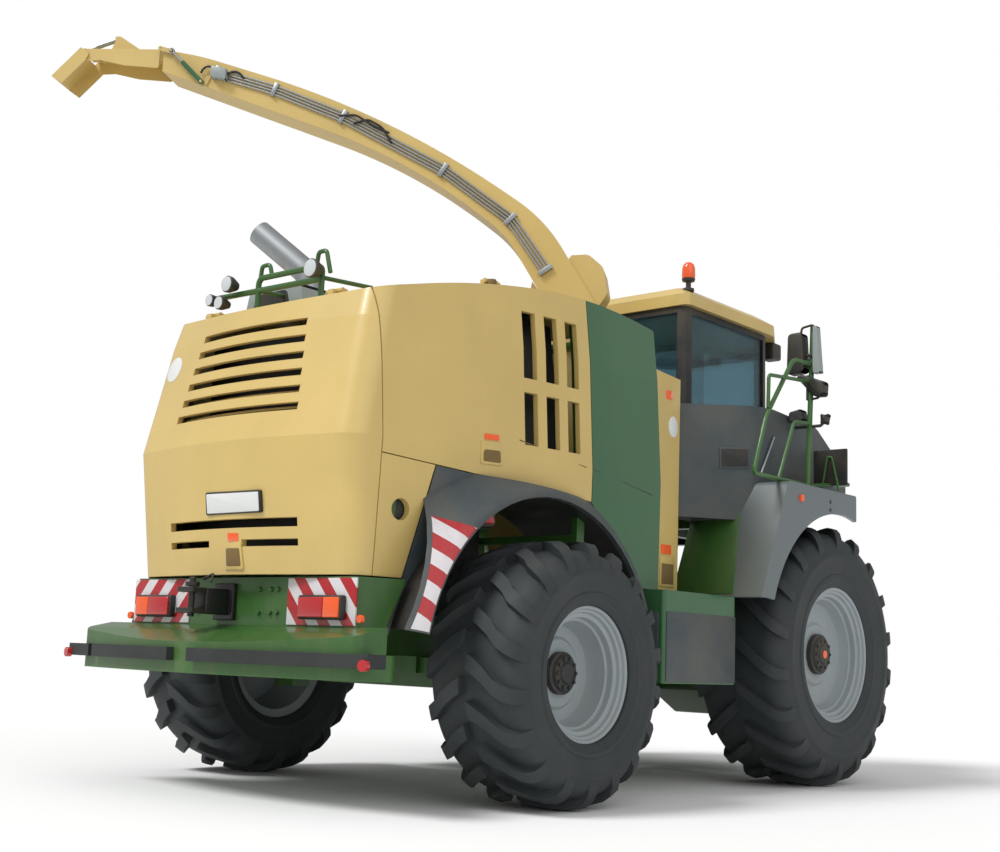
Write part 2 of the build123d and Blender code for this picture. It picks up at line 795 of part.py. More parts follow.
def bumper_strips():
    """Rubber rubbing strips along the bumper's nose."""
    rows = ((-STRIP_HALF, -90), (90, 1010), (1060, STRIP_HALF))
    strips = []
    for x0, x1 in rows:
        outer = slab_z(
            (
                (-SKEW, 4300),
                (SKEW, 4300),
                (SKEW, BUMPER_END_Y + STRIP_D - 60),
                (0, BUMPER_MID_Y + 60 + STRIP_D, 4200),
                (-SKEW, BUMPER_END_Y + STRIP_D - 60),
            ),
            STRIP_Z - STRIP_H / 2,
            STRIP_Z + STRIP_H / 2,
        )
        strips.append((outer & block(x0, x1, 4500, 5000, 700, 900)) - bumper())
    return strips


# Cab


def cab_section(height, half, rear, side_front, nose):
    return outline(
        (
            (-half, rear, 60),
            (-half, side_front, 180),
            (-half * 0.55, nose, 250),
            (half * 0.55, nose, 250),
            (half, side_front, 180),
            (half, rear, 60),
        ),
        Plane(origin=(0, 0, height)),
    )


def cab_volume(inset, z0, z1):
    """Cab form between two heights, wider at the sill than at the head."""
    sections = []
    for z in (z0, z1):
        share = (z - CAB_FLOOR) / (CAB_HEAD - CAB_FLOOR)
        half = CAB_HALF - 20 * share - inset
        sections.append(
            cab_section(z, half, CAB_REAR - inset, CAB_SIDE_FRONT + inset, CAB_NOSE - 60 * share + inset)
        )
    return loft(sections, ruled=True)


def door_region(gap):
    """Opening of the left door, shrunk by gap on every side."""
    y0 = CAB_SIDE_FRONT + 190 + gap
    return block(300, SKEW, y0, DOOR_REAR - gap, DOOR_BOTTOM + gap, CAB_HEAD - 60 - gap)


def cab_frame():
    """Cab shell with floor, posts and window openings."""
    shell = cab_volume(0, CAB_FLOOR, CAB_HEAD) - cab_volume(CAB_POST, CAB_FLOOR + 60, CAB_HEAD + 10)
    z0, z1 = CAB_SILL, CAB_HEAD - 50
    rear_window = block(-CAB_HALF + 90, CAB_HALF - 90, 600, 1200, z0, z1)
    side_window = block(-SKEW, -300, CAB_SIDE_FRONT + 40, CAB_REAR - 100, z0, z1)
    screen = block(-CAB_HALF + 120, CAB_HALF - 120, -1300, CAB_SIDE_FRONT - 120, CAB_FLOOR + 260, z1)
    frame = shell - rear_window - side_window - screen - door_region(0)
    return frame.fuse(*door_hinges()[0])


def cab_glass():
    """Fixed panes: windscreen, right side and rear."""
    outer = cab_volume(12, CAB_FLOOR, CAB_HEAD)
    skin = outer - cab_volume(12 + GLASS, CAB_FLOOR - 10, CAB_HEAD + 10)
    e = SEAT
    z0, z1 = CAB_SILL + e, CAB_HEAD - 50 - e
    rear = skin & block(-CAB_HALF + 90 + e, CAB_HALF - 90 - e, 600, 1200, z0, z1)
    right = skin & block(-SKEW, -300, CAB_SIDE_FRONT + 40 + e, CAB_REAR - 100 - e, z0, z1)
    front = skin & block(-CAB_HALF + 120 + e, CAB_HALF - 120 - e, -1300, CAB_SIDE_FRONT - 120 - e, CAB_FLOOR + 260 + e, z1)
    return [rear, right, front]


def cab_door():
    """Left door frame."""
    shell = cab_volume(0, CAB_FLOOR, CAB_HEAD) - cab_volume(CAB_POST - 20, CAB_FLOOR - 10, CAB_HEAD + 10)
    body = (shell & door_region(DOOR_GAP)) - door_region(DOOR_GAP + 70)
    return body.fuse(*door_hinges()[1])


def cab_door_glass():
    skin = cab_volume(12, CAB_FLOOR, CAB_HEAD) - cab_volume(12 + GLASS, CAB_FLOOR - 10, CAB_HEAD + 10)
    return skin & door_region(DOOR_GAP + 70 + SEAT)


def cab_roof():
    """Yellow roof cap with a drooping front visor."""
    half, z = CAB_HALF + 25, CAB_HEAD + SEAT
    low = cab_section(z, half, CAB_REAR + 20, CAB_SIDE_FRONT - 60, CAB_NOSE - 220)
    mid = cab_section(z + 90, half, CAB_REAR + 20, CAB_SIDE_FRONT - 60, CAB_NOSE - 220)
    top = cab_section(CAB_ROOF_TOP, half - 110, CAB_REAR - 60, CAB_SIDE_FRONT + 20, CAB_NOSE - 60)
    return loft([low, mid, top], ruled=True)


def seat_and_console():
    """Operator's seat, with the steering column and console beside it."""
    floor = CAB_FLOOR + 60 + SEAT
    base = block(-230, 230, 120, 520, floor, floor + 330)
    cushion = slab_x(((80, floor + 330), (640, floor + 330), (640, floor + 450, 40), (60, floor + 480, 60)), -260, 260)
    back = slab_x(((520, floor + 440), (640, floor + 440), (760, floor + 1080, 40), (660, floor + 1090, 40)), -250, 250)
    arm = block(-400, -270, 60, 560, floor + 560, floor + 650)
    post = block(-360, -300, 300, 380, floor, floor + 580)
    seat = join([base, cushion, back])
    console = join([arm, post])
    column = rod((0, -430, floor - 40), (0, -250, floor + 640), 45) & block(-99, 99, -600, 0, floor, floor + 900)
    plane = Plane(origin=(0, -245, floor + 655), z_dir=(0, 0.26, 0.966))
    wheel_rim = plane * Torus(180, 16)
    hub = rod((0, -250, floor + 620), (0, -243, floor + 665), 60)
    spokes = plane * Box(350, 30, 14)
    return [seat, console, join([column, hub, spokes, wheel_rim])]


# Cab surroundings


def shroud_plan(grow):
    """Upright prism of the right shroud's plan, grown outwards."""
    return slab_z(
        (
            (-890 + grow, 1290 + grow, 30),
            (-1010 - grow, 1290 + grow, 60),
            (-1380 - grow, 800 + grow, 150),
            (-1380 - grow, -640, 60),
            (-890 + grow, -640, 30),
        ),
        1900 - grow,
        2800,
    )


def cab_shroud():
    """Dark side covers: a long one on the right, a short one behind the door."""
    plan = shroud_plan(0)
    side = slab_x(
        (
            (1400, 1900),
            (1400, 2720),
            (560, 2760, 40),
            (-100, 2720, 200),
            (-640, 2400, 60),
            (-640, FENDER_TOP + SEAT),
            (560, FENDER_TOP + SEAT),
            (560, 1900),
        ),
        -SKEW,
        0,
    )
    right = plan & side
    left = mirror(right, about=Plane.YZ) & block(0, SKEW, DOOR_REAR + 60, 2000, 1800, 2900)
    return [right, left]


def front_column():
    """Yellow upright column ahead of the side band on the right."""
    return slab_z(
        (
            (-1130, HOUSE_FRONT - SEAM),
            (-1190, HOUSE_FRONT - SEAM, 20),
            (-1120, 1420, 60),
            (-980, 1330, 30),
            (-960, 1400),
        ),
        SIDE_BOX_TOP + SEAT,
        2860,
    )


def side_box():
    """Tank box between the wheels on the right."""
    body = slab_z(
        (
            (-SIDE_BOX_OUT, SIDE_BOX_FRONT, 30),
            (-SIDE_BOX_OUT, SIDE_BOX_REAR, 30),
            (-SIDE_BOX_IN, SIDE_BOX_REAR),
            (-SIDE_BOX_IN, SIDE_BOX_FRONT),
        ),
        SIDE_BOX_LOW,
        SIDE_BOX_TOP,
    )
    arm = RAIL_X + RAIL_W / 2 + SEAT
    for y in (SIDE_BOX_FRONT + 150, SIDE_BOX_REAR - 150):
        body = body.fuse(block(-SIDE_BOX_IN - 10, -arm, y - 40, y + 40, RAIL_Z + 40, RAIL_Z + 160))
    return body


def front_fender():
    """Front mudguard on the right: flat top, skirt and rear wing."""
    z = FRONT_TYRE_R
    low = SIDE_BOX_TOP + SEAT
    outer = slab_x(
        (
            (-260, FENDER_TOP, 20),
            (800, FENDER_TOP, 60),
            (1170, low),
            (1080, low),
            (0, 1200),
            (-260, 2000),
        ),
        -1640,
        -900,
    )
    hollow = rod((-1610, 0, z), (-800, 0, z), 1130) & block(-1610, -800, -400, 1300, 800, FENDER_TOP - 40)
    arch = rod((-SKEW - 200, 0, z), (-600, 0, z), 1050)
    under_shroud = shroud_plan(SEAT) & block(-SKEW, 0, 560 - SEAT, 1400, 1800, 2900)
    return outer - hollow - arch - under_shroud


# Discharge spout


def spout_frame():
    """Plane whose local x runs along the spout's heading and local y is up."""
    heading = radians(SPOUT_HEADING)
    along = (sin(heading), cos(heading), 0)
    across = (cos(heading), -sin(heading), 0)
    return Plane(origin=(0, SPOUT_Y, 0), x_dir=along, z_dir=across)


def spout_slab(points, across0, across1):
    """Prism across the spout between two offsets, from an outline in its plane."""
    return extrude(outline(points, spout_frame().offset(across0)), across1 - across0)


def spout_rod(point, radius, across0, across1):
    """Pin or boss across the spout at a point of its plane."""
    plane = spout_frame().offset(across0)
    return extrude(plane * Pos(point[0], point[1]) * Circle(radius), across1 - across0)


def turn(point, pivot, angle):
    """Point turned about a pivot in the spout's plane; positive lifts the reach side."""
    a = radians(angle)
    dx, dz = point[0] - pivot[0], point[1] - pivot[1]
    return (pivot[0] + dx * cos(a) - dz * sin(a), pivot[1] + dx * sin(a) + dz * cos(a))


def spout_turret():
    """Turntable ring with the two cheeks that hold the channel's lift pin."""
    ring = Pos(0, SPOUT_Y, RING_Z + SEAT + RING_H / 2) * Cylinder(RING_R, RING_H)
    bore = Pos(0, SPOUT_Y, RING_Z + RING_H / 2) * Cylinder(RING_BORE, 2 * RING_H)
    floor = RING_Z + RING_H - 5
    inner = CHANNEL_HALF + MOVE_GAP
    outer = inner + CHEEK_T
    cheek = (
        (LIFT_REACH - 130, floor),
        (LIFT_REACH - 90, LIFT_Z + 50, 60),
        (LIFT_REACH + 60, LIFT_Z + 75, 60),
        (250, floor + 60, 60),
        (300, floor),
    )
    pieces = [ring - bore]
    for across in (-outer, inner):
        pieces.append(spout_slab(cheek, across, across + CHEEK_T))
    pieces.append(spout_slab(((280, floor), (280, floor + 50), (340, floor + 50), (340, floor)), -outer, outer))
    body = join(pieces)
    for across in (-outer - 10, inner - 10):
        body = body - spout_rod((LIFT_REACH, LIFT_Z), LIFT_PIN_R + SEAT, across, across + CHEEK_T + 20)
    ear = (
        (LIFT_FOOT[0] - 80, floor),
        (LIFT_FOOT[0] - 45, LIFT_FOOT[1] + 30, 25),
        (LIFT_FOOT[0] + 35, LIFT_FOOT[1] + 35, 30),
        (LIFT_FOOT[0] + 20, floor),
    )
    for across in (-62, 42):
        body = body.fuse(spout_slab(ear, across, across + 20))
    return body.fuse(spout_rod(LIFT_FOOT, 18, -62, 62))


def channel_outline(inset):
    """Side outline of the channel with its walls moved inwards."""
    rise = [(p[0], p[1] - inset, *p[2:]) for p in CHANNEL_TOP]
    fall = [(p[0], p[1] + inset, *p[2:]) for p in CHANNEL_UNDER]
    return rise + fall


def spout_channel():
    """Curved rectangular channel, open at both ends, with its pins and brackets."""
    half = CHANNEL_HALF
    outer = spout_slab(channel_outline(0), -half, half)
    side = CHANNEL_WALL
    inner_rows = channel_outline(CHANNEL_WALL * 1.3)
    first, last = inner_rows[0], inner_rows[-1]
    mouth_top, mouth_low = inner_rows[4], inner_rows[5]
    inner_rows[0] = (first[0] - 60, first[1] - 98, 0)
    inner_rows[-1] = (last[0] - 60, last[1] - 98, 0)
    inner_rows[4] = (mouth_top[0] + 60, mouth_top[1] + 13)
    inner_rows[5] = (mouth_low[0] + 60, mouth_low[1] + 23)
    body = outer - spout_slab(inner_rows, -half + side, half - side)
    for sign in (-1, 1):
        a0, a1 = sorted((sign * (half - side), sign * (half + MOVE_GAP + CHEEK_T + 6)))
        body = body.fuse(spout_rod((LIFT_REACH, LIFT_Z), LIFT_PIN_R, a0, a1))
    lug = (
        (LIFT_EYE[0] - 110, LIFT_EYE[1] - 30),
        (LIFT_EYE[0] - 10, LIFT_EYE[1] - 45, 20),
        (LIFT_EYE[0] + 45, LIFT_EYE[1] + 10, 20),
        (LIFT_EYE[0] + 20, LIFT_EYE[1] + 150),
    )
    lug_cut = spout_slab(channel_outline(4), -half, half)
    for across in (-62, 46):
        body = body.fuse(spout_slab(lug, across, across + 16) - lug_cut)
    body = body.fuse(spout_rod(LIFT_EYE, 16, -62, 62))
    foot = (
        (FLAP_FOOT[0] - 70, FLAP_FOOT[1] + 60),
        (FLAP_FOOT[0] - 30, FLAP_FOOT[1] - 30, 25),
        (FLAP_FOOT[0] + 35, FLAP_FOOT[1] - 15, 25),
        (FLAP_FOOT[0] + 40, FLAP_FOOT[1] + 80),
    )
    body = body.fuse(spout_slab(foot, -half - 10, -half + 1))
    body = body.fuse(spout_rod(FLAP_FOOT, 11, -half - 58, -half + 1))
    for a0, a1 in ((-122, -70), (70, 122)):
        strap = spout_slab(
            (
                (CHANNEL_TOP[-1][0] - 60, CHANNEL_TOP[-1][1] - 18),
                (CHANNEL_TOP[-1][0] - 60, CHANNEL_TOP[-1][1] + 4),
                (FLAP_HINGE[0], FLAP_HINGE[1] + 8),
                (FLAP_HINGE[0], FLAP_HINGE[1] - 4),
                (CHANNEL_TOP[-1][0] - 2, CHANNEL_TOP[-1][1] - 6),
            ),
            a0,
            a1,
        )
        knuckle_tube = spout_rod(FLAP_HINGE, HINGE_R, a0, a1)
        body = body.fuse(strap, knuckle_tube) - spout_rod(FLAP_HINGE, HINGE_PIN_R + SEAT, a0 - 5, a1 + 5)
    guard = (
        (-405, 3520),
        (-455, 3600, 60),
        (-420, 3800, 120),
        (-300, 3905, 80),
        (-170, 3900),
        (-130, 3840),
        (-350, 3470),
    )
    cover = spout_slab(guard, -110, 110) - spout_slab(channel_outline(4), -half, half)
    return body.fuse(cover)


def spout_flap_inner():
    """First deflector flap: top plate and side plates, open below."""
    t, half = FLAP_WALL, FLAP_HALF
    hx, hz = FLAP_HINGE
    tx, tz = TIP_HINGE
    shell = spout_slab(
        (
            (hx + 20, hz - 2),
            (tx - 22, tz - 4),
            (tx - 60, tz - 112, 20),
            (tx - 190, tz - 112, 60),
            (hx + 330, hz - 128, 200),
            (hx + 20, hz - 165, 20),
        ),
        -half,
        half,
    )
    hollow = spout_slab(
        (
            (hx - 60, hz - 10 - t),
            (tx + 60, tz + 2 - t),
            (tx + 60, tz - 300),
            (hx - 60, hz - 300),
        ),
        -half + t,
        half - t,
    )
    body = shell - hollow
    shaft = spout_rod(FLAP_HINGE, HINGE_PIN_R, -CHANNEL_HALF - 30, 126)
    strap = ((hx, hz - 10), (hx, hz + 8), (hx + 60, hz + 8), (hx + 60, hz - 6))
    body = body.fuse(shaft, spout_rod(FLAP_HINGE, HINGE_R, -62, 62), spout_slab(strap, -62, 62))
    ex, ez = FLAP_EYE
    lever = (
        (hx + 20, hz + 14, 12),
        (hx + 16, hz - 22, 10),
        (ex - 8, ez - 22, 14),
        (ex - 24, ez + 14, 14),
    )
    a0 = -CHANNEL_HALF - 26
    body = body.fuse(spout_slab(lever, a0, a0 + 10), spout_rod(FLAP_EYE, 9, a0 - 32, a0 + 5))
    px, pz = TIP_FOOT
    post = (
        (hx + 180, hz + 8),
        (px - 30, pz + 14, 16),
        (px + 16, pz + 16, 16),
        (px + 14, pz - 30),
        (px + 60, tz - 24),
    )
    for across in (-34, 26):
        body = body.fuse(spout_slab(post, across, across + 8))
    body = body.fuse(spout_rod(TIP_FOOT, 9, -34, 34))
    for a0, a1 in ((-110, -60), (60, 110)):
        body = body.fuse(spout_rod(TIP_HINGE, HINGE_R, a0, a1))
    ear = (
        (tx - 70, tz - 18),
        (tx - 60, tz - 2),
        (tx, tz + 4),
        (tx, tz - 12),
    )
    for a0, a1 in ((-110, -60), (60, 110)):
        body = body.fuse(spout_slab(ear, a0, a1))
        body = body - spout_rod(TIP_HINGE, HINGE_PIN_R + SEAT, a0 - 5, a1 + 5)
    return body


def spout_flap_tip():
    """Tip deflector flap, bent down; its side plates run outside the first flap's."""
    t, half = FLAP_WALL, CHANNEL_HALF
    inside = FLAP_HALF + MOVE_GAP / 2

    def at(along, below):
        """Point given along and below the flap's own line."""
        return turn((TIP_HINGE[0] + along, TIP_HINGE[1] - below), TIP_HINGE, -TIP_DROP)

    shell = spout_slab(
        (
            at(22, 4),
            at(TIP_LENGTH, 4),
            at(TIP_LENGTH - 20, TIP_DEPTH),
            (*at(40, TIP_DEPTH), 40),
            (*at(-30, TIP_DEPTH - 20), 30),
            (*at(-10, 4), 8),
        ),
        -half,
        half,
    )
    hollow = spout_slab((at(-80, 4 + t), at(TIP_LENGTH + 60, 4 + t), at(TIP_LENGTH + 60, 300), at(-80, 300)), -inside, inside)
    back = spout_slab((at(-80, -20), at(22, -20), at(22, 4 + t), at(-80, 4 + t)), -inside, inside)
    body = shell - hollow - back
    body = body.fuse(spout_rod(TIP_HINGE, HINGE_PIN_R, -120, 120), spout_rod(TIP_HINGE, HINGE_R, -54, 54))
    strap = (at(0, -6), at(40, 2), at(40, 4 + t), at(0, 10))
    body = body.fuse(spout_slab(strap, -54, 54))
    ex, ez = TIP_EYE
    arm = (
        (TIP_HINGE[0] - 12, TIP_HINGE[1] + 2),
        (ex - 14, ez + 10, 10),
        (ex + 12, ez + 10, 10),
        (TIP_HINGE[0] + 40, TIP_HINGE[1] - 30),
    )
    for across in (-24, 14):
        body = body.fuse(spout_slab(arm, across, across + 10))
    return body.fuse(spout_rod(TIP_EYE, 7, -24, 24))


def cylinder_parts(foot, eye, across, width, barrel_r, rod_r, barrel_length, rod_length, bore_start, pins):
    """Barrel and rod of one cylinder between two pins of the spout's plane."""
    plane = spout_frame()
    a = plane.from_local_coords(Vector(foot[0], foot[1], across))
    b = plane.from_local_coords(Vector(eye[0], eye[1], across))
    way = (b - a).normalized()
    foot_pin, eye_pin = pins

    def along(start, end, radius):
        return rod(tuple(a + way * start), tuple(a + way * end), radius)

    barrel = along(0, barrel_length, barrel_r).fuse(spout_rod(foot, barrel_r * 1.1, across - width, across + width))
    barrel = barrel - along(bore_start, barrel_length + 5, rod_r + SEAT)
    barrel = barrel - spout_rod(foot, foot_pin + SEAT, across - 2 * width, across + 2 * width)
    span = (b - a).length
    piston_rod = along(span - rod_length, span, rod_r).fuse(spout_rod(eye, eye_pin + 9, across - width, across + width))
    piston_rod = piston_rod - spout_rod(eye, eye_pin, across - 2 * width, across + 2 * width)
    return barrel, piston_rod


# Crop intake


def intake_housing():
    """Feed housing ahead of the front axle, open towards the header."""
    outer = slab_x(
        (
            (INTAKE_FRONT, 430),
            (INTAKE_FRONT, 1400, 20),
            (INTAKE_FRONT + 260, 1480, 60),
            (RAIL_FRONT - SEAT, 1480),
            (RAIL_FRONT - SEAT, 640, 40),
            (INTAKE_FRONT + 420, 430, 80),
        ),
        -INTAKE_HALF,
        INTAKE_HALF,
    )
    mouth = slab_x(
        (
            (INTAKE_FRONT - 10, 480),
            (INTAKE_FRONT - 10, 1190),
            (INTAKE_FRONT + 520, 1150, 60),
            (INTAKE_FRONT + 520, 560, 60),
            (INTAKE_FRONT + 380, 480, 40),
        ),
        -ROLL_LENGTH / 2 - 20,
        ROLL_LENGTH / 2 + 20,
    )
    body = outer - mouth
    for y, z, radius in ROLLS:
        body = body - rod((-INTAKE_HALF - 10, y, z), (INTAKE_HALF + 10, y, z), ROLL_SHAFT_R + SEAT)
    return body


def feed_roll(row):
    """Toothed feed roll with its shaft."""
    y, z, radius = row
    half = ROLL_LENGTH / 2
    body = rod((-half, y, z), (half, y, z), radius - 22)
    shaft = rod((-INTAKE_HALF, y, z), (INTAKE_HALF, y, z), ROLL_SHAFT_R)
    bars = []
    for i in range(ROLL_BARS):
        bar = block(-half, half, y - 9, y + 9, z + radius - 40, z + radius)
        bars.append(bar.rotate(Axis((0, y, z), (1, 0, 0)), 360 / ROLL_BARS * i))
    return join([body, shaft, *bars])


# Cab support, ladder and small outside pieces


def cab_support():
    """Posts and beams that lift the cab and carry the platform beside it."""
    top = CAB_FLOOR - SEAT
    pieces = []
    for side in (-1, 1):
        x0, x1 = sorted((side * (RAIL_X - RAIL_W / 2), side * (RAIL_X + RAIL_W / 2)))
        for y in (-560, 700):
            pieces.append(block(x0, x1, y - 60, y + 60, RAIL_Z + RAIL_H + SEAT, top - 90))
        pieces.append(block(x0, x1, -700, 900, top - 100, top))
    for y in (-560, 700):
        pieces.append(block(-870, 870, y - 50, y + 50, top - 90, top))
    return join(pieces)


def spout_tower():
    """Upright crop duct from the chassis to the turntable."""
    body = block(-TOWER_HALF, TOWER_HALF, TOWER_FRONT, SPOUT_Y + 270, RAIL_Z + RAIL_H + SEAT, RING_Z - 40)
    flange = Pos(0, SPOUT_Y, RING_Z - 25) * Cylinder(RING_R, 50)
    return body.fuse(flange)


def exhaust():
    """Exhaust pipe: a stub on the deck and a cut, bent tail."""
    outer = tube(((350, 3700, 3000), (350, 3700, 3330), (700, 3860, 3640)), 85, 130)
    inner = tube(((350, 3700, 2990), (350, 3700, 3330), (740, 3878, 3675)), 79, 130)
    return outer - inner - house_volume(-SEAT)


NODES = {}


def build():
    shell = house_shell()
    NODES["chassis_frame"] = chassis_frame()
    NODES["cover_hoops"] = cover_hoops()
    NODES["engine_block"] = engine_block()
    NODES["front_axle"] = front_axle()
    NODES["rear_axle"] = rear_axle()
    for side, name in ((-1, "right"), (1, "left")):
        NODES[f"knuckle_{name}"] = knuckle(side)
        tyre_f, rim_f = wheel(
            side, 0, FRONT_TYRE_R, FRONT_TYRE_W, FRONT_TYRE_OUT, FRONT_BEAD_R, FRONT_RIM_OUT, FRONT_HUB_FACE, FRONT_HUB_R
        )
        tyre_r, rim_r = wheel(
            side, WHEELBASE, REAR_TYRE_R, REAR_TYRE_W, REAR_TYRE_OUT, REAR_BEAD_R, REAR_RIM_OUT, REAR_HUB_FACE, REAR_HUB_R
        )
        NODES[f"tyre_front_{name}"] = tyre_f
        NODES[f"rim_front_{name}"] = rim_f
        NODES[f"tyre_rear_{name}"] = tyre_r
        NODES[f"rim_rear_{name}"] = rim_r
    NODES["rear_hood"] = rear_hood(shell)
    flank_right = flank(shell)
    NODES["flank_right"] = flank_right
    NODES["flank_left"] = mirror(flank_right, about=Plane.YZ)
    NODES["deck_cover"] = deck_cover(shell)
    NODES["corner_panels"] = both(corner_panel(shell))
    NODES["side_bands"] = both(side_band(shell))
    NODES["rear_fenders"] = both(rear_fender(shell))
    NODES["rear_beam"] = rear_beam()
    NODES["bumper"] = bumper()
    NODES["bumper_strips"] = bumper_strips()
    NODES["cab_frame"] = cab_frame()
    NODES["cab_glass"] = cab_glass()
    NODES["cab_door"] = cab_door()
    NODES["cab_door_glass"] = cab_door_glass()
    NODES["cab_roof"] = cab_roof()
    NODES["seat_and_console"] = seat_and_console()
    NODES["cab_shrouds"] = cab_shroud()
    NODES["front_columns"] = both(front_column())
    NODES["side_boxes"] = both(side_box())
    NODES["front_fenders"] = both(front_fender())
    NODES["cab_support"] = cab_support()
    NODES["spout_tower"] = spout_tower()
    NODES["spout_turret"] = spout_turret()
    NODES["spout_channel"] = spout_channel()
    NODES["spout_flap_inner"] = spout_flap_inner()
    NODES["spout_flap_tip"] = spout_flap_tip()
    near = -CHANNEL_HALF - 38
    rows = (
        ("lift", LIFT_FOOT, LIFT_EYE, 0, 36, 34, 22, 215, 232, 28, (18, 31.5)),
        ("flap", FLAP_FOOT, FLAP_EYE, near, 10, 20, 11, 250, 207, 165, (11, 16.5)),
        ("tip", TIP_FOOT, TIP_EYE, 0, 10, 19, 9, 200, 149, 108, (9, 17)),
    )
    for name, foot, eye, across, width, r0, r1, length, rod_length, bore, pins in rows:
        barrel, piston = cylinder_parts(foot, eye, across, width, r0, r1, length, rod_length, bore, pins)
        NODES[f"{name}_barrel"] = barrel
        NODES[f"{name}_rod"] = piston
    NODES["intake_housing"] = intake_housing()
    NODES["feed_roll_lower"] = feed_roll(ROLLS[0])
    NODES["feed_roll_upper"] = feed_roll(ROLLS[1])
    NODES["exhaust"] = exhaust()


def solids_of(piece):
    shapes = piece if isinstance(piece, (list, tuple)) else [piece]
    return [solid for shape in shapes for solid in shape.solids()]


build()
os.makedirs("parts", exist_ok=True)
for node, piece in NODES.items():
    solids = solids_of(piece)
    export_step(Compound(solids) if len(solids) > 1 else solids[0], f"parts/{node}.step")
    print(node, len(solids), "solids")
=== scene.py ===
from math import cos, pi, radians, sin

import bpy
from mathutils import Matrix, Vector


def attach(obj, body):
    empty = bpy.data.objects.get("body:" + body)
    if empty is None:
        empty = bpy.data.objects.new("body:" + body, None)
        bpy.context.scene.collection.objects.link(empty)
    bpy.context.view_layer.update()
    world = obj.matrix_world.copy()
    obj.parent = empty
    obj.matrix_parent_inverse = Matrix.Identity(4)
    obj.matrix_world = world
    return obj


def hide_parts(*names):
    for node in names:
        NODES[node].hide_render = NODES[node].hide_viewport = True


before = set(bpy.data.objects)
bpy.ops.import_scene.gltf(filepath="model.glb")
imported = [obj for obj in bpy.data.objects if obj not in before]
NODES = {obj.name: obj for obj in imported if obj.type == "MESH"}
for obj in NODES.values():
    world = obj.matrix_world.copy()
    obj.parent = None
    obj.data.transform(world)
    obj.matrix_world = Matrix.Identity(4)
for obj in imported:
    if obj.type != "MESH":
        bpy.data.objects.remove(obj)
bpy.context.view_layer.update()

# A forage harvester seen from behind its right side, spout swung up and out to the left.
# Metres, +Z up, -Y the driving direction, so the machine's right side is at -X.

SIDES = (("right", -1), ("left", 1))

# Camera, measured from the picture's own perspective
EYE = Vector((-6.607, 9.735, 0.8593))
CAMERA_YAW = radians(40.85)
CAMERA_PITCH = radians(9.31)
CAMERA_ROLL = radians(2.18)
CAMERA_LENS = 50.54
CAMERA_SENSOR = 36.0

# Light
SUN_FROM = Vector((0.30, 0.80, 1.05))
SUN_STRENGTH = 2.1
SUN_ANGLE = radians(18)
FILL_FROM = Vector((-1.0, 0.35, 0.75))
FILL_STRENGTH = 0.55
FILL_ANGLE = radians(60)
SKY_STRENGTH = 0.5
FLOOR_HALF = 40.0
FLOOR_CENTRE = Vector((0.0, 1.6, 0.0))
FLOOR_SOLID_R = 9.0
FLOOR_FADE_R = 16.0
FLOOR_WHITE = 0.93


# Shader maths

class Wire:
    """One output socket of a material's nodes, with the arithmetic that its masks need."""

    def __init__(self, finish, socket):
        self.finish = finish
        self.socket = socket

    def out(self, name):
        return Wire(self.finish, self.socket.node.outputs[name])

    def maths(self, operation, first, second):
        return self.finish.node("ShaderNodeMath", {"operation": operation}, {0: first, 1: second})

    def __add__(self, other):
        return self.maths("ADD", self, other)

    __radd__ = __add__

    def __sub__(self, other):
        return self.maths("SUBTRACT", self, other)

    def __mul__(self, other):
        return self.maths("MULTIPLY", self, other)

    def __truediv__(self, other):
        return self.maths("DIVIDE", self, other)

    def __pow__(self, other):
        return self.maths("POWER", self, other)


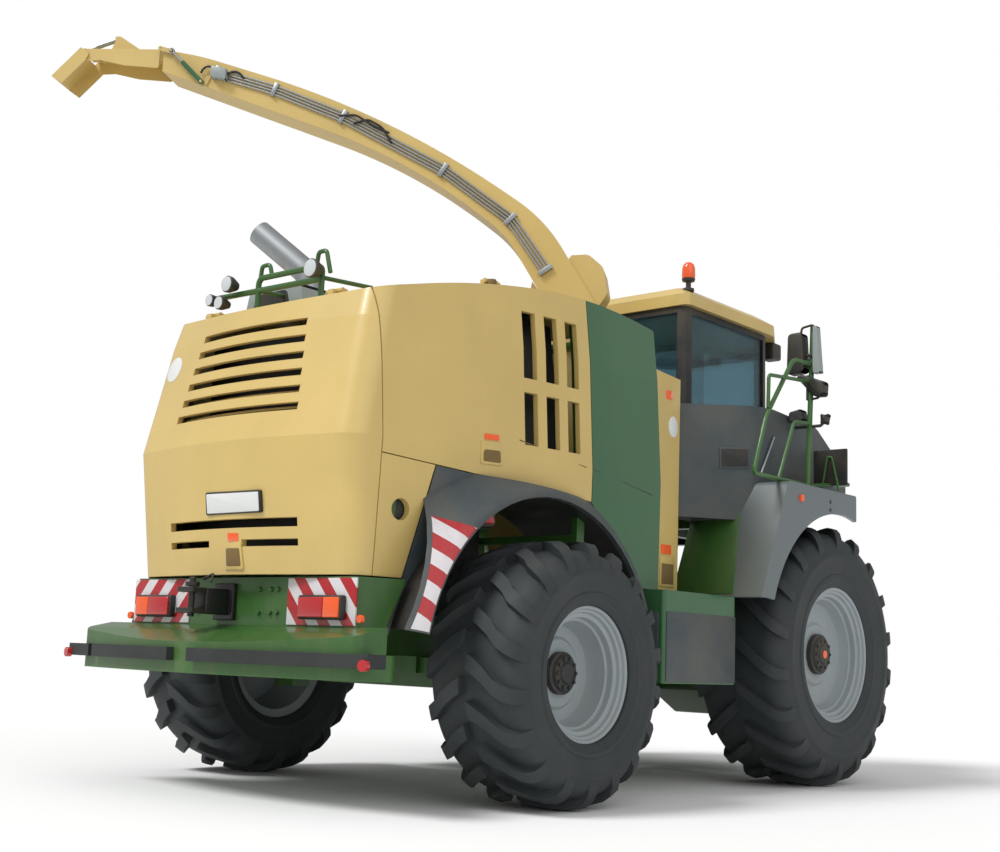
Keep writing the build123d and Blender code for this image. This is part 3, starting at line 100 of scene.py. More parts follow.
class Finish:
    """A material, or the world's light, that is written node by node."""

    def __init__(self, name, holder=None):
        self.material = holder or bpy.data.materials.new(name)
        self.material.use_nodes = True
        self.tree = self.material.node_tree
        self.tree.nodes.clear()

    def node(self, kind, settings=None, sockets=None):
        """A new node: its settings first, then the values or links of its sockets."""
        made = self.tree.nodes.new(kind)
        for key, value in (settings or {}).items():
            setattr(made, key, value)
        for key, value in (sockets or {}).items():
            if isinstance(value, Wire):
                self.tree.links.new(value.socket, made.inputs[key])
            else:
                made.inputs[key].default_value = value
        return Wire(self, made.outputs[0]) if made.outputs else made

    def place(self):
        """The point on the piece, in metres."""
        return self.node("ShaderNodeTexCoord").out("Object")

    def axis(self, name):
        """One coordinate of the point, X, Y or Z."""
        return self.node("ShaderNodeSeparateXYZ", {}, {0: self.place()}).out(name)

    def noise(self, scale, detail=3.0, rough=0.55, stretch=(1.0, 1.0, 1.0)):
        """Noise from 0 to 1, with scale waves in a metre."""
        spot = self.node("ShaderNodeMapping", {}, {"Vector": self.place(), "Scale": stretch})
        cells = {"Vector": spot, "Scale": scale, "Detail": detail, "Roughness": rough}
        return self.node("ShaderNodeTexNoise", {}, cells)

    def spread(self, value, low, high, start=0.0, end=1.0):
        """The value, with low..high carried to start..end and held there."""
        sockets = {"Value": value, "From Min": low, "From Max": high, "To Min": start, "To Max": end}
        return self.node("ShaderNodeMapRange", {"clamp": True}, sockets)

    def blend(self, mask, first, second):
        """The first colour where the mask is 0 and the second where it is 1."""
        sockets = {0: mask, 6: colour_in(first), 7: colour_in(second)}
        return Wire(self, self.node("ShaderNodeMix", {"data_type": "RGBA"}, sockets).socket.node.outputs[2])

    def bump(self, height, strength, distance, normal=None):
        sockets = {"Height": height, "Strength": strength, "Distance": distance}
        if normal is not None:
            sockets["Normal"] = normal
        return self.node("ShaderNodeBump", {}, sockets)

    def round_edges(self, radius):
        """A normal that runs round the sharp edges of a piece."""
        return self.node("ShaderNodeBevel", {"samples": 4}, {"Radius": radius})

    def edges(self, radius):
        """1 along the sharp edges of a piece and 0 elsewhere."""
        flat = self.node("ShaderNodeNewGeometry").out("Normal")
        dot = self.node("ShaderNodeVectorMath", {"operation": "DOT_PRODUCT"},
                        {0: flat, 1: self.round_edges(radius)}).out("Value")
        return self.spread(dot, 0.995, 0.86)

    def surface(self, **sockets):
        """The finished shader; Base_Color stands for the socket Base Color, and so on."""
        named = {key.replace("_", " "): value for key, value in sockets.items()}
        shader = self.node("ShaderNodeBsdfPrincipled", {}, named)
        self.node("ShaderNodeOutputMaterial", {}, {"Surface": shader})
        return self.material


def rgba(colour):
    return (*colour, 1.0)


def colour_in(colour):
    return colour if isinstance(colour, Wire) else rgba(colour)


def srgb(red, green, blue):
    """A colour as the eye reads it, 0 to 255, in the renderer's linear values."""
    def linear(value):
        value /= 255
        return value / 12.92 if value <= 0.04045 else ((value + 0.055) / 1.055) ** 2.4
    return (linear(red), linear(green), linear(blue))


def tint(colour, factor):
    return tuple(min(1.0, value * factor) for value in colour)


# Colours
BEIGE = srgb(212, 184, 112)
DEEP_GREEN = srgb(46, 98, 58)
FRAME_GREEN = srgb(54, 98, 42)
CHARCOAL = srgb(34, 37, 38)
SLATE = srgb(66, 76, 80)
SILVER = srgb(150, 160, 164)
BLACK = srgb(24, 26, 27)
STEEL = srgb(172, 176, 178)
DUST = srgb(150, 132, 104)
PALE_GREY = srgb(148, 158, 158)
FENDER_GREY = srgb(102, 112, 114)
SOIL = srgb(92, 90, 86)
STRIPE_RED = srgb(172, 26, 34)
STRIPE_WHITE = srgb(214, 210, 212)
LAMP_ORANGE = srgb(226, 84, 22)
LAMP_RED = srgb(176, 20, 26)
BLANK_WHITE = srgb(226, 228, 226)


# Finishes

def paint(name, colour, roughness=0.34, coat=0.35, dirt=0.25, edge=0.004, fade=0.05):
    """Sprayed enamel: a fine orange peel, faded patches, chaff dust low down, and worn edges painted in a
    lighter tint, a painted highlight.
    """
    finish = Finish(name)
    patches = finish.spread(finish.noise(1.3, 4.0), 0.35, 0.68)
    streaks = finish.spread(finish.noise(5.0, 5.0, 0.7, (1.0, 1.0, 0.16)), 0.42, 0.72)
    low = finish.spread(finish.axis("Z"), 1.9, 0.55)
    specks = finish.spread(finish.noise(60.0, 3.0, 0.6), 0.56, 0.72)
    soiled = (streaks * 0.5 + specks * 0.35) * (low * 0.8 + 0.2) * dirt
    # Patches of lighter tint along the edges: wear, and a painted highlight.
    edge_wear_and_highlight = finish.edges(edge) * finish.spread(finish.noise(14.0, 4.0, 0.65), 0.45, 0.62) * 0.5
    tone = finish.blend(patches, tint(colour, 1 - fade), tint(colour, 1 + fade))
    tone = finish.blend(soiled, tone, DUST)
    # Painted highlight and wear on the edges; its strength follows dirt.
    tone = finish.blend(edge_wear_and_highlight * dirt, tone, tint(colour, 1.35))
    peel = finish.noise(170.0, 2.0, 0.5)
    round_normal = finish.round_edges(edge)
    return finish.surface(
        Base_Color=tone,
        Roughness=roughness + soiled * 0.4 + patches * 0.05,
        Coat_Weight=coat,
        Coat_Roughness=0.12,
        Normal=finish.bump(peel, 0.05, 0.001, round_normal),
    )


def plastic(name, colour, roughness=0.5, dirt=0.3, edge=0.004, grain=420.0):
    """Moulded plastic with a fine grain and chaff dust in clouds and specks."""
    finish = Finish(name)
    clouds = finish.spread(finish.noise(2.2, 5.0, 0.6), 0.38, 0.7)
    specks = finish.spread(finish.noise(75.0, 3.0, 0.65), 0.55, 0.72)
    soiled = (clouds * 0.6 + specks * 0.3) * dirt
    tone = finish.blend(soiled, colour, DUST)
    leather = finish.noise(grain, 2.0, 0.5)
    return finish.surface(
        Base_Color=tone,
        Roughness=roughness + soiled * 0.3,
        Normal=finish.bump(leather, 0.12, 0.0006, finish.round_edges(edge)),
    )


def metal(name, colour, roughness=0.35, brushed=(1.0, 1.0, 12.0), stain=0.3):
    """Bare metal, drawn or turned one way, with dull stains."""
    finish = Finish(name)
    lines = finish.noise(90.0, 3.0, 0.6, brushed)
    stains = finish.spread(finish.noise(6.0, 5.0, 0.65), 0.45, 0.7) * stain
    tone = finish.blend(stains, colour, tint(colour, 0.45))
    return finish.surface(
        Base_Color=tone,
        Metallic=1.0,
        Roughness=roughness + lines * 0.12 + stains * 0.4,
        Normal=finish.bump(lines, 0.08, 0.0005),
    )


def rubber(name, colour, dirt=0.22, roughness=0.66):
    """Black rubber with dry soil on it."""
    finish = Finish(name)
    soil = finish.spread(finish.noise(3.0, 6.0, 0.68), 0.42, 0.72)
    specks = finish.spread(finish.noise(50.0, 4.0, 0.7), 0.5, 0.75)
    soiled = (soil * 0.7 + specks * 0.3) * dirt
    tone = finish.blend(soiled, colour, SOIL)
    pores = finish.noise(260.0, 3.0, 0.6)
    return finish.surface(
        Base_Color=tone,
        Roughness=roughness + soiled * 0.2,
        Normal=finish.bump(pores, 0.25, 0.0008, finish.round_edges(0.005)),
    )


def striped(name, across, tilt, pitch):
    """Warning board: red and white bands that lean outwards on both sides of the machine."""
    finish = Finish(name)
    if across == "X":
        sideways = finish.node("ShaderNodeMath", {"operation": "ABSOLUTE"}, {0: finish.axis("X")})
    else:
        sideways = finish.axis(across)
    run = (sideways * tilt + finish.axis("Z")) / pitch
    turns = finish.node("ShaderNodeMath", {"operation": "FRACT"}, {0: run + 40.0})
    red = finish.spread(turns, 0.49, 0.51)
    grime = finish.spread(finish.noise(20.0, 4.0, 0.6), 0.5, 0.75) * 0.12
    tone = finish.blend(grime, finish.blend(red, STRIPE_WHITE, STRIPE_RED), DUST)
    return finish.surface(Base_Color=tone, Roughness=grime + 0.3, Coat_Weight=0.3)


def lens(name, colour, glow=0.15):
    """Ribbed lamp glass over a reflector."""
    finish = Finish(name)
    ribs = finish.node("ShaderNodeTexWave", {"wave_type": "BANDS", "bands_direction": "Z"},
                       {"Vector": finish.place(), "Scale": 45.0})
    cells = finish.noise(160.0, 1.0, 0.4)
    return finish.surface(
        Base_Color=finish.blend(ribs.out("Fac"), tint(colour, 0.75), tint(colour, 1.15)),
        Roughness=0.12,
        Coat_Weight=0.8,
        Emission_Color=rgba(colour),
        Emission_Strength=glow,
        Normal=finish.bump(ribs.out("Fac") + cells * 0.3, 0.3, 0.001),
    )


def glazing(name):
    """Tinted cab glass: a little of what is behind it, and the sky on it."""
    finish = Finish(name)
    film = finish.spread(finish.noise(3.5, 4.0, 0.6), 0.4, 0.75) * 0.05
    glass = finish.node("ShaderNodeBsdfPrincipled", {}, {
        "Base Color": rgba(srgb(128, 160, 170)),
        "Roughness": film + 0.03,
        "Transmission Weight": 1.0,
        "IOR": 1.45,
    })
    clear = finish.node("ShaderNodeBsdfTransparent", {}, {"Color": rgba(srgb(186, 206, 212))})
    mixed = finish.node("ShaderNodeMixShader", {}, {0: 0.5, 1: clear, 2: glass})
    finish.node("ShaderNodeOutputMaterial", {}, {"Surface": mixed})
    return finish.material


def cloth(name, colour):
    """Woven seat cover."""
    finish = Finish(name)
    threads = finish.node("ShaderNodeTexWave", {"wave_type": "BANDS", "bands_direction": "X"},
                          {"Vector": finish.place(), "Scale": 90.0, "Distortion": 0.4})
    cross = finish.node("ShaderNodeTexWave", {"wave_type": "BANDS", "bands_direction": "Z"},
                        {"Vector": finish.place(), "Scale": 90.0, "Distortion": 0.4})
    weave = threads.out("Fac") * cross.out("Fac")
    return finish.surface(
        Base_Color=finish.blend(weave, tint(colour, 0.8), tint(colour, 1.3)),
        Roughness=0.9,
        Sheen_Weight=0.3,
        Normal=finish.bump(weave, 0.4, 0.001),
    )


BODY = paint("body_enamel", BEIGE)
SPOUT = paint("spout_enamel", BEIGE, roughness=0.4, coat=0.2, dirt=0.35)
BAND = paint("green_gloss", DEEP_GREEN, roughness=0.2, coat=0.7, dirt=0.12)
FRAME = paint("green_satin", FRAME_GREEN, roughness=0.34, coat=0.3, dirt=0.35)
SILVER_PAINT = paint("rim_silver", SILVER, roughness=0.42, coat=0.15, dirt=0.5)
SLATE_SHELL = plastic("slate_shell", SLATE)
BLACK_SHELL = plastic("black_shell", CHARCOAL)
BLACK_PAINT = paint("black_satin", BLACK, roughness=0.4, coat=0.1, dirt=0.3)
PIPE = metal("steel_pipe", STEEL)
CAST = metal("cast_iron", srgb(70, 70, 70), roughness=0.6, stain=0.6)
TYRE_RUBBER = rubber("tyre_rubber", srgb(43, 49, 51))
STRIP_RUBBER = rubber("strip_rubber", srgb(36, 40, 40), dirt=0.2, roughness=0.6)
GLASS = glazing("cab_glazing")
SEAT_CLOTH = cloth("seat_cloth", srgb(52, 54, 58))
GREY_SHELL = paint("grey_shell", PALE_GREY, roughness=0.38, coat=0.25, dirt=0.25)
FENDER_SHELL = paint("fender_shell", FENDER_GREY, roughness=0.3, coat=0.4, dirt=0.3)
HOSE_RUBBER = rubber("hose_rubber", BLACK, dirt=0.1, roughness=0.55)
BOARD_REAR = striped("board_rear", "X", 1.15, 0.215)
BOARD_SIDE = striped("board_side", "Y", -1.0, 0.25)
ORANGE_LENS = lens("orange_lens", LAMP_ORANGE, 0.25)
RED_LENS = lens("red_lens", LAMP_RED)
CLEAR_LENS = lens("clear_lens", srgb(206, 212, 214), 0.05)
BLANK_SIGN = plastic("blank_sign", BLANK_WHITE, roughness=0.35, dirt=0.1)
SHADE = plastic("shade_pocket", srgb(120, 96, 48), roughness=0.55)

# Nodes of each finish, by how their names start
FINISH_NODES = (
    (BODY, ("rear_hood", "flank", "deck_cover", "corner_panels", "cab_roof", "front_columns")),
    (SPOUT, ("spout",)),
    (BAND, ("side_bands", "side_boxes", "flap_barrel")),
    (FRAME, ("chassis_frame", "front_axle", "rear_axle", "knuckle", "rear_beam", "bumper", "cab_support",
             "lift", "intake_housing", "cover_hoops")),
    (SILVER_PAINT, ("rim",)),
    (SLATE_SHELL, ("rear_fenders", "cab_shrouds")),
    (FENDER_SHELL, ("front_fenders",)),
    (BLACK_SHELL, ("cab_frame", "cab_door")),
    (GLASS, ("cab_glass", "cab_door_glass")),
    (SEAT_CLOTH, ("seat_and_console",)),
    (TYRE_RUBBER, ("tyre",)),
    (STRIP_RUBBER, ("bumper_strips",)),
    (CAST, ("engine_block", "feed_roll")),
    (PIPE, ("flap_rod", "tip", "exhaust")),
)
NODE_FINISH = {start: look for look, starts in FINISH_NODES for start in starts}


def finish_of(node):
    """The finish of a node, by the longest name in the table that it starts with."""
    return NODE_FINISH[max((key for key in NODE_FINISH if node.startswith(key)), key=len)]


def dress_nodes():
    for name, node in NODES.items():
        node.data.materials.clear()
        node.data.materials.append(finish_of(name))


# Making shapes

def finished(name, look, body, smooth=35):
    """Ends the piece in hand: normals outward, origin at the world's, then finish and body."""
    bpy.ops.object.mode_set(mode="EDIT")
    bpy.ops.mesh.select_all(action="SELECT")
    bpy.ops.mesh.normals_make_consistent(inside=False)
    bpy.ops.object.mode_set(mode="OBJECT")
    bpy.ops.object.transform_apply(location=True, rotation=True, scale=True)
    bpy.ops.object.shade_smooth_by_angle(angle=radians(smooth))
    piece = bpy.context.object
    piece.name = name
    piece.data.materials.clear()
    piece.data.materials.append(look)
    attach(piece, body)
    return piece


def chain(points):
    """A line of edges through the points, drawn by extruding one vertex; it stays in edit mode."""
    bpy.ops.object.select_all(action="DESELECT")
    bpy.ops.mesh.primitive_plane_add(size=0.01, location=points[0])
    bpy.ops.object.mode_set(mode="EDIT")
    bpy.ops.mesh.merge(type="CENTER")
    for start, end in zip(points, points[1:]):
        step = Vector(end) - Vector(start)
        bpy.ops.mesh.extrude_vertices_move(TRANSFORM_OT_translate={"value": step})
    bpy.ops.mesh.select_all(action="SELECT")


def plate(name, points, depth, look, body="root", bevel=0.0, corner=0.0):
    """Flat outline, its corners rounded, pulled out along depth."""
    chain(points)
    bpy.ops.mesh.edge_face_add()
    if corner:
        bpy.ops.mesh.bevel(affect="VERTICES", offset=corner, segments=4)
    bpy.ops.mesh.select_all(action="SELECT")
    bpy.ops.mesh.extrude_region_move(TRANSFORM_OT_translate={"value": depth})
    if bevel:
        bpy.ops.mesh.select_all(action="SELECT")
        bpy.ops.mesh.bevel(affect="EDGES", offset=bevel, segments=2)
    return finished(name, look, body)


def tube(name, points, radius, look, body="root", bend=0.0):
    """Round bar along the points, with bent corners."""
    chain(points)
    bpy.ops.object.mode_set(mode="OBJECT")
    if bend:
        for vertex in bpy.context.object.data.vertices:
            vertex.select = 0 < vertex.index < len(points) - 1
        bpy.ops.object.mode_set(mode="EDIT")
        bpy.ops.mesh.bevel(affect="VERTICES", offset=bend, segments=5)
        bpy.ops.object.mode_set(mode="OBJECT")
    bpy.ops.object.convert(target="CURVE")
    curve = bpy.context.object.data
    curve.bevel_depth = radius
    curve.bevel_resolution = 3
    curve.use_fill_caps = True
    bpy.ops.object.convert(target="MESH")
    return finished(name, look, body, 50)


def turned(name, profile, centre, axis, look, body="root", steps=40):
    """Turned piece: rows of radius and distance along the axis."""
    centre, axis = Vector(centre), Vector(axis).normalized()
    side = axis.orthogonal().normalized()
    chain([centre + side * radius + axis * along for radius, along in profile])
    bpy.ops.mesh.spin(steps=steps, angle=2 * pi, center=centre, axis=axis)
    bpy.ops.mesh.select_all(action="SELECT")
    bpy.ops.mesh.remove_doubles(threshold=0.0002)
    return finished(name, look, body)


def box(name, low, high, look, body="root", bevel=0.004):
    """Block between two corners with eased edges."""
    low, high = Vector(low), Vector(high)
    bpy.ops.object.select_all(action="DESELECT")
    bpy.ops.mesh.primitive_cube_add(size=1, location=(low + high) / 2)
    bpy.context.object.scale = high - low
    bpy.ops.object.transform_apply(location=True, scale=True)
    bpy.ops.object.mode_set(mode="EDIT")
    if bevel:
        bpy.ops.mesh.bevel(affect="EDGES", offset=bevel, segments=3)
    return finished(name, look, body)


def joined(name, pieces):
    """Several pieces of one finish and body as one mesh."""
    bpy.ops.object.select_all(action="DESELECT")
    for piece in pieces:
        piece.select_set(True)
    bpy.context.view_layer.objects.active = pieces[0]
    bpy.ops.object.join()
    pieces[0].name = name
    return pieces[0]


PATCH_SEAT = 0.004
DISC_SEAT = 0.01


def skin_normal(corners):
    """The outward direction of the machine's skin at a patch's corners."""
    corners = [Vector(corner) for corner in corners]
    centre = sum(corners, Vector()) / len(corners)
    normal = (corners[1] - corners[0]).cross(corners[-1] - corners[0]).normalized()
    return normal if normal.dot(EYE - centre) > 0 else -normal


def patch(name, corners, height, look, body="root", corner=0.0, bevel=0.0015):
    """Flat piece on the skin, seated a little into it."""
    normal = skin_normal(corners)
    sunk = [Vector(point) - normal * PATCH_SEAT for point in corners]
    return plate(name, sunk, normal * (height + PATCH_SEAT), look, body, bevel, corner)


def pocket(name, rim_at, hollow_at, heights, body="root", looks=(BODY, SHADE), rounding=(0.012, 0.01)):
    """Handle in the skin: a raised rim with a darker hollow inside it, the hollow's colour a painted shade.
    """
    parts = ((name, rim_at), (f"{name}_hollow", hollow_at))
    for (word, corners), height, look, corner in zip(parts, heights, looks, rounding):
        patch(word, corners, height, look, body, corner)


def note(name, corners, height, body="root"):
    """Small blank sticker in the glowing orange lens finish, a painted glow."""
    patch(name, corners, height, ORANGE_LENS, body, 0.004, 0.001)


def disc(name, centre, normal, radius, look, height=0.003, body="root"):
    """Round plate on the skin."""
    rim_rows = ((radius * 0.97, height), (radius, height - 0.001))
    rows = ((0.0, height), *rim_rows, (radius, -DISC_SEAT), (0.0, -DISC_SEAT))
    return turned(name, rows, centre, normal, look, body)


# Wheels

LUGS = 18
LUG_HEIGHT = 0.058
LUG_WIDTH = 0.092
LUG_FOOT_SINK = 0.02
LUG_FOOT_INSET = 0.06
CROWN_RISE = 0.006
TYRE_STEPS = 96

# Tyre: share of the wall from bead to tread, and how far it lies inside the half width
WALL_ROWS = (
    (0.0, 0.085), (0.03, 0.042), (0.10, 0.024), (0.16, 0.018), (0.18, 0.011), (0.25, 0.010), (0.27, 0.016),
    (0.42, 0.006), (0.55, 0.004), (0.57, 0.0), (0.63, 0.0), (0.65, 0.005),
    (0.78, 0.016), (0.88, 0.038), (0.95, 0.075), (0.99, 0.115), (1.0, 0.15),
)
# Lug crest: place across from the middle (inside the half width where negative), lug pitches behind
# the apex, and how far it lies inside the tyre's radius
LUG_ROWS = (
    (0.022, -0.62, 0.0), (0.08, -0.50, 0.0), (0.15, -0.33, 0.002), (-0.13, -0.10, 0.006),
    (-0.075, 0.02, 0.018), (-0.035, 0.10, 0.05), (-0.012, 0.15, 0.10), (-0.008, 0.18, 0.165),
    (-0.02, 0.20, 0.2),
)


def lug_bar(way, radius, half):
    """One lug of one side, from its crest line to its foot in the carcass."""
    line = []
    for across, behind, drop in LUG_ROWS:
        x = way * (across if across > 0 else half + across)
        angle = (behind + 0.25 * way) * 2 * pi / LUGS
        line.append((x, (radius - drop) * sin(angle), (radius - drop) * cos(angle)))
    chain(line)
    bpy.ops.object.mode_set(mode="OBJECT")
    bpy.ops.object.transform_apply(location=True)
    bpy.ops.object.mode_set(mode="EDIT")
    bpy.ops.mesh.select_all(action="SELECT")
    bpy.ops.mesh.spin(steps=2, angle=LUG_WIDTH / radius, center=(0, 0, 0), axis=(1, 0, 0))
    bpy.ops.mesh.select_all(action="SELECT")
    bpy.ops.mesh.extrude_region_move()
    foot = (radius - LUG_HEIGHT - LUG_FOOT_SINK) / radius
    bpy.ops.transform.resize(value=(1 - LUG_FOOT_INSET / half, foot, foot), center_override=(0, 0, 0))
    bpy.ops.object.mode_set(mode="OBJECT")
    return bpy.context.object


def tyre(name, middle, radius, width, bead, body):
    """Lugged tyre, standing on the floor, with the middle of its tread at middle."""
    half, base = width / 2, radius - LUG_HEIGHT
    wall = [(bead + share * (base - bead), half - inset) for share, inset in WALL_ROWS]
    crown = [(base + CROWN_RISE, 0.0)]
    rows = wall + crown + [(r, -x) for r, x in reversed(wall)] + [wall[0]]
    pieces = [turned(name, rows, (0, 0, 0), (1, 0, 0), TYRE_RUBBER, "root", TYRE_STEPS)]
    bpy.ops.object.empty_add(rotation=(2 * pi / LUGS, 0, 0))
    turner = bpy.context.object
    for way in (1, -1):
        around = lug_bar(way, radius, half).modifiers.new("around", "ARRAY")
        around.use_relative_offset = False
        around.use_object_offset = True
        around.offset_object = turner
        around.count = LUGS
        bpy.ops.object.modifier_apply(modifier="around")
        pieces.append(finished(f"{name}_lugs", TYRE_RUBBER, "root", 30))
    bpy.data.objects.remove(turner)
    whole = joined(name, pieces)
    whole.parent = None
    bpy.ops.object.mode_set(mode="EDIT")
    bpy.ops.mesh.select_all(action="SELECT")
    bpy.ops.transform.translate(value=middle)
    bpy.ops.object.mode_set(mode="OBJECT")
    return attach(whole, body)


HUB_BOLTS = 10
HUB_BOLT_ROWS = ((0.0, 0.016), (0.011, 0.016), (0.013, 0.0), (0.013, -0.01), (0.0, -0.01))
HUB_STAND = 0.08
# How much shorter a rim reaches inwards than its tyre is wide
RIM_SHORTER = 0.12
# Axle, its y, tyre radius, width, outer plane and bead, rim's plane and disc depth, hub radius
AXLES = (
    ("front", 0.0, 0.965, 0.74, 1.645, 0.49, 1.598, 0.17, 0.15),
    ("rear", 3.13, 0.775, 0.69, 1.695, 0.388, 1.637, 0.22, 0.125),
)
# Round mark on the front hubs: place and radius
HUB_MARK = (1.598 - 0.09, 0, 0.965)
HUB_MARK_R = 0.03


def rim(name, face, side, bead, depth, reach, hub_radius, body):
    """Stepped dish of a wheel; depth and reach are how far its disc and inner lip lie behind face."""
    rows = (
        (bead + 0.012, -0.03), (bead + 0.014, -0.004), (bead + 0.004, 0.002), (bead - 0.010, -0.006),
        (bead - 0.016, -0.022), (bead - 0.030, -0.030), (bead - 0.036, -0.050), (bead - 0.060, -0.058),
        (bead - 0.066, -0.095), (bead - 0.082, -0.102), (bead - 0.092, -depth + 0.035),
        (bead - 0.110, -depth), (hub_radius + 0.09, -depth - 0.012), (hub_radius + 0.07, -depth + 0.004),
        (hub_radius - 0.03, -depth + 0.004), (hub_radius - 0.03, -depth - 0.03),
        (bead - 0.10, -depth - 0.03), (bead - 0.05, -reach + 0.02), (bead + 0.012, -reach),
        (bead + 0.012, -0.03),
    )
    return turned(name, rows, face, (side, 0, 0), SILVER_PAINT, body, 72)


def hub(name, centre, side, radius, stand, look, body):
    """Hub cap with its ring of bolts; stand is how far it stands out."""
    rows = (
        (0.0, stand), (radius * 0.45, stand), (radius * 0.52, stand - 0.012), (radius * 0.8, stand - 0.018),
        (radius * 0.86, stand - 0.035), (radius, stand - 0.04), (radius, -0.03), (0.0, -0.03),
    )
    pieces = [turned(name, rows, centre, (side, 0, 0), look, body)]
    for turn in range(HUB_BOLTS):
        angle = 2 * pi * turn / HUB_BOLTS
        ring = Vector((side * (stand - 0.02), radius * 0.68 * cos(angle), radius * 0.68 * sin(angle)))
        pieces.append(turned(name, HUB_BOLT_ROWS, Vector(centre) + ring, (side, 0, 0), look, body, 6))
    return joined(name, pieces)


def wheels():
    for axle, y, radius, width, out, bead, plane, depth, hub_radius in AXLES:
        for word, side in SIDES:
            name = f"{axle}_{word}"
            body = f"wheel_{name}"
            tread = (side * (out - width / 2), y, radius)
            ring = tyre(f"lugged_tyre_{name}", tread, radius, width, bead, body)
            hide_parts(f"tyre_{name}")
            face = (side * plane, y, radius)
            reach = width - RIM_SHORTER
            dish = rim(f"stepped_rim_{name}", face, side, bead, depth, reach, hub_radius, body)
            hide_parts(f"rim_{name}")
            middle = (side * (plane - depth), y, radius)
            hub(f"hub_{name}", middle, side, hub_radius, HUB_STAND, BLACK_SHELL, body)
    # The hub marks take the glowing orange lens finish: a painted glow.
    x, y, z = HUB_MARK
    for word, side in SIDES:
        centre = (side * x, y, z)
        body = f"wheel_front_{word}"
        disc(f"hub_mark_{word}", centre, (side, 0, 0), HUB_MARK_R, ORANGE_LENS, 0.004, body)


# Rear: boards, lamps, coupling

def both_sides(make, name):
    """The same pieces on the right and the left."""
    for word, side in SIDES:
        make(f"{name}_{word}", side)


# Pieces of a rear board: name, spans in x from the middle, y and z, finish, bevel
REAR_BOARD_ROWS = (
    ("board", (0.449, 1.014), (4.396, 4.408), (0.990, 1.254), BOARD_REAR, 0.003),
    ("housing", (0.586, 0.94), (4.404, 4.450), (1.022, 1.157), BLACK_SHELL, 0.012),
    ("stop_lens", (0.60, 0.80), (4.446, 4.462), (1.034, 1.145), RED_LENS, 0.006),
    ("turn_lens", (0.805, 0.928), (4.446, 4.462), (1.034, 1.145), ORANGE_LENS, 0.006),
)


def rear_boards(name, side):
    """Striped board with a lamp housing and its two lenses."""
    for word, span, depths, heights, look, bevel in REAR_BOARD_ROWS:
        span = sorted((side * span[0], side * span[1]))
        low, high = zip(span, depths, heights)
        box(f"{word}_{name}", low, high, look, bevel=bevel)


COUPLING_X = 0.10
COUPLING_PIN_Y = 4.66
COUPLING_PIN_Z = 1.12
COUPLING_PIN_ROWS = (
    (0, 0.13), (0.019, 0.125), (0.019, 0.10), (0.041, 0.10), (0.041, 0.075), (0.019, 0.075), (0.019, -0.10),
    (0, -0.10),
)


def coupling():
    """Tow jaw with two lips, its pin and its lever."""
    x, y = COUPLING_X, COUPLING_PIN_Y
    lever = ((x - 0.04, y - 0.05, 1.24), (x - 0.14, y - 0.04, 1.27), (x - 0.17, y, 1.22))
    pieces = [
        box("jaw", (x - 0.09, 4.39, 1.01), (x + 0.09, 4.43, 1.225), BLACK_PAINT, bevel=0.006),
        box("jaw", (x - 0.06, 4.42, 1.04), (x + 0.06, y - 0.06, 1.19), BLACK_PAINT, bevel=0.008),
        turned("pin", COUPLING_PIN_ROWS, (x, y, COUPLING_PIN_Z), (0, 0, 1), BLACK_PAINT),
        tube("lever", lever, 0.008, BLACK_PAINT, bend=0.02),
    ]
    for low in (1.04, 1.16):
        corners = ((x - 0.06, y - 0.07), (x + 0.06, y - 0.07), (x + 0.075, y + 0.06), (x - 0.075, y + 0.06))
        outline = [(u, v, low) for u, v in corners]
        pieces.append(plate("lip", outline, (0, 0, 0.03), BLACK_PAINT, bevel=0.004, corner=0.02))
    joined("tow_coupling", pieces)


BEAM_BOLTS_X = (-0.36, -0.30, -0.20, 0.36, 0.42, 0.52)
BEAM_BOLTS_Z = (1.06, 1.19)
BEAM_BOLT_ROWS = ((0, 0.014), (0.014, 0.014), (0.016, 0), (0.016, -0.01), (0, -0.01))


def bumper_fittings():
    """Lamps at the bumper's ends, marks and bolts on the beam above it."""
    for word, side in SIDES:
        centre = (side * 1.345, 4.640, 0.785)
        disc(f"bumper_lamp_{word}", centre, (side * 0.19, 0.982, 0), 0.030, RED_LENS, 0.022)
    # The beam marks take the glowing orange lens finish: a painted glow.
    for word, side in SIDES:
        disc(f"beam_mark_{word}", (side * 1.052, 4.402, 1.03), (0, 1, 0), 0.022, ORANGE_LENS, 0.012)
    spots = [(x, 4.401, z) for x in BEAM_BOLTS_X for z in BEAM_BOLTS_Z]
    bolts = [turned("beam_bolts", BEAM_BOLT_ROWS, spot, (0, 1, 0), FRAME, steps=6) for spot in spots]
    joined("beam_bolts", bolts)


# Tail hood

HOOD_BEND_Z = 1.93
# Louvre: its two ends in x and its height
LOUVRE_LINES = (
    (0.49, -0.52, 2.722), (0.51, -0.53, 2.626), (0.53, -0.54, 2.528), (0.55, -0.55, 2.430),
    (0.56, -0.56, 2.333), (0.57, -0.57, 2.236),
)
LOUVRE_SHARES = (1.0, 0.6, 0.2, -0.2, -0.6, -1.0)
# Screen behind the louvres and the grille: half width, y, top, foot
HOOD_SCREENS = ((0.60, 4.24, 2.80, 2.16), (0.60, 4.27, 1.62, 1.38))


def hood_y(x, z):
    """Place of the hood's rear skin, bowed across and leaning forward upwards."""
    bow = 4.5665 - 0.16 * x * x - 0.02 * abs(x)
    return bow - max(0.0, z - HOOD_BEND_Z) * 0.215


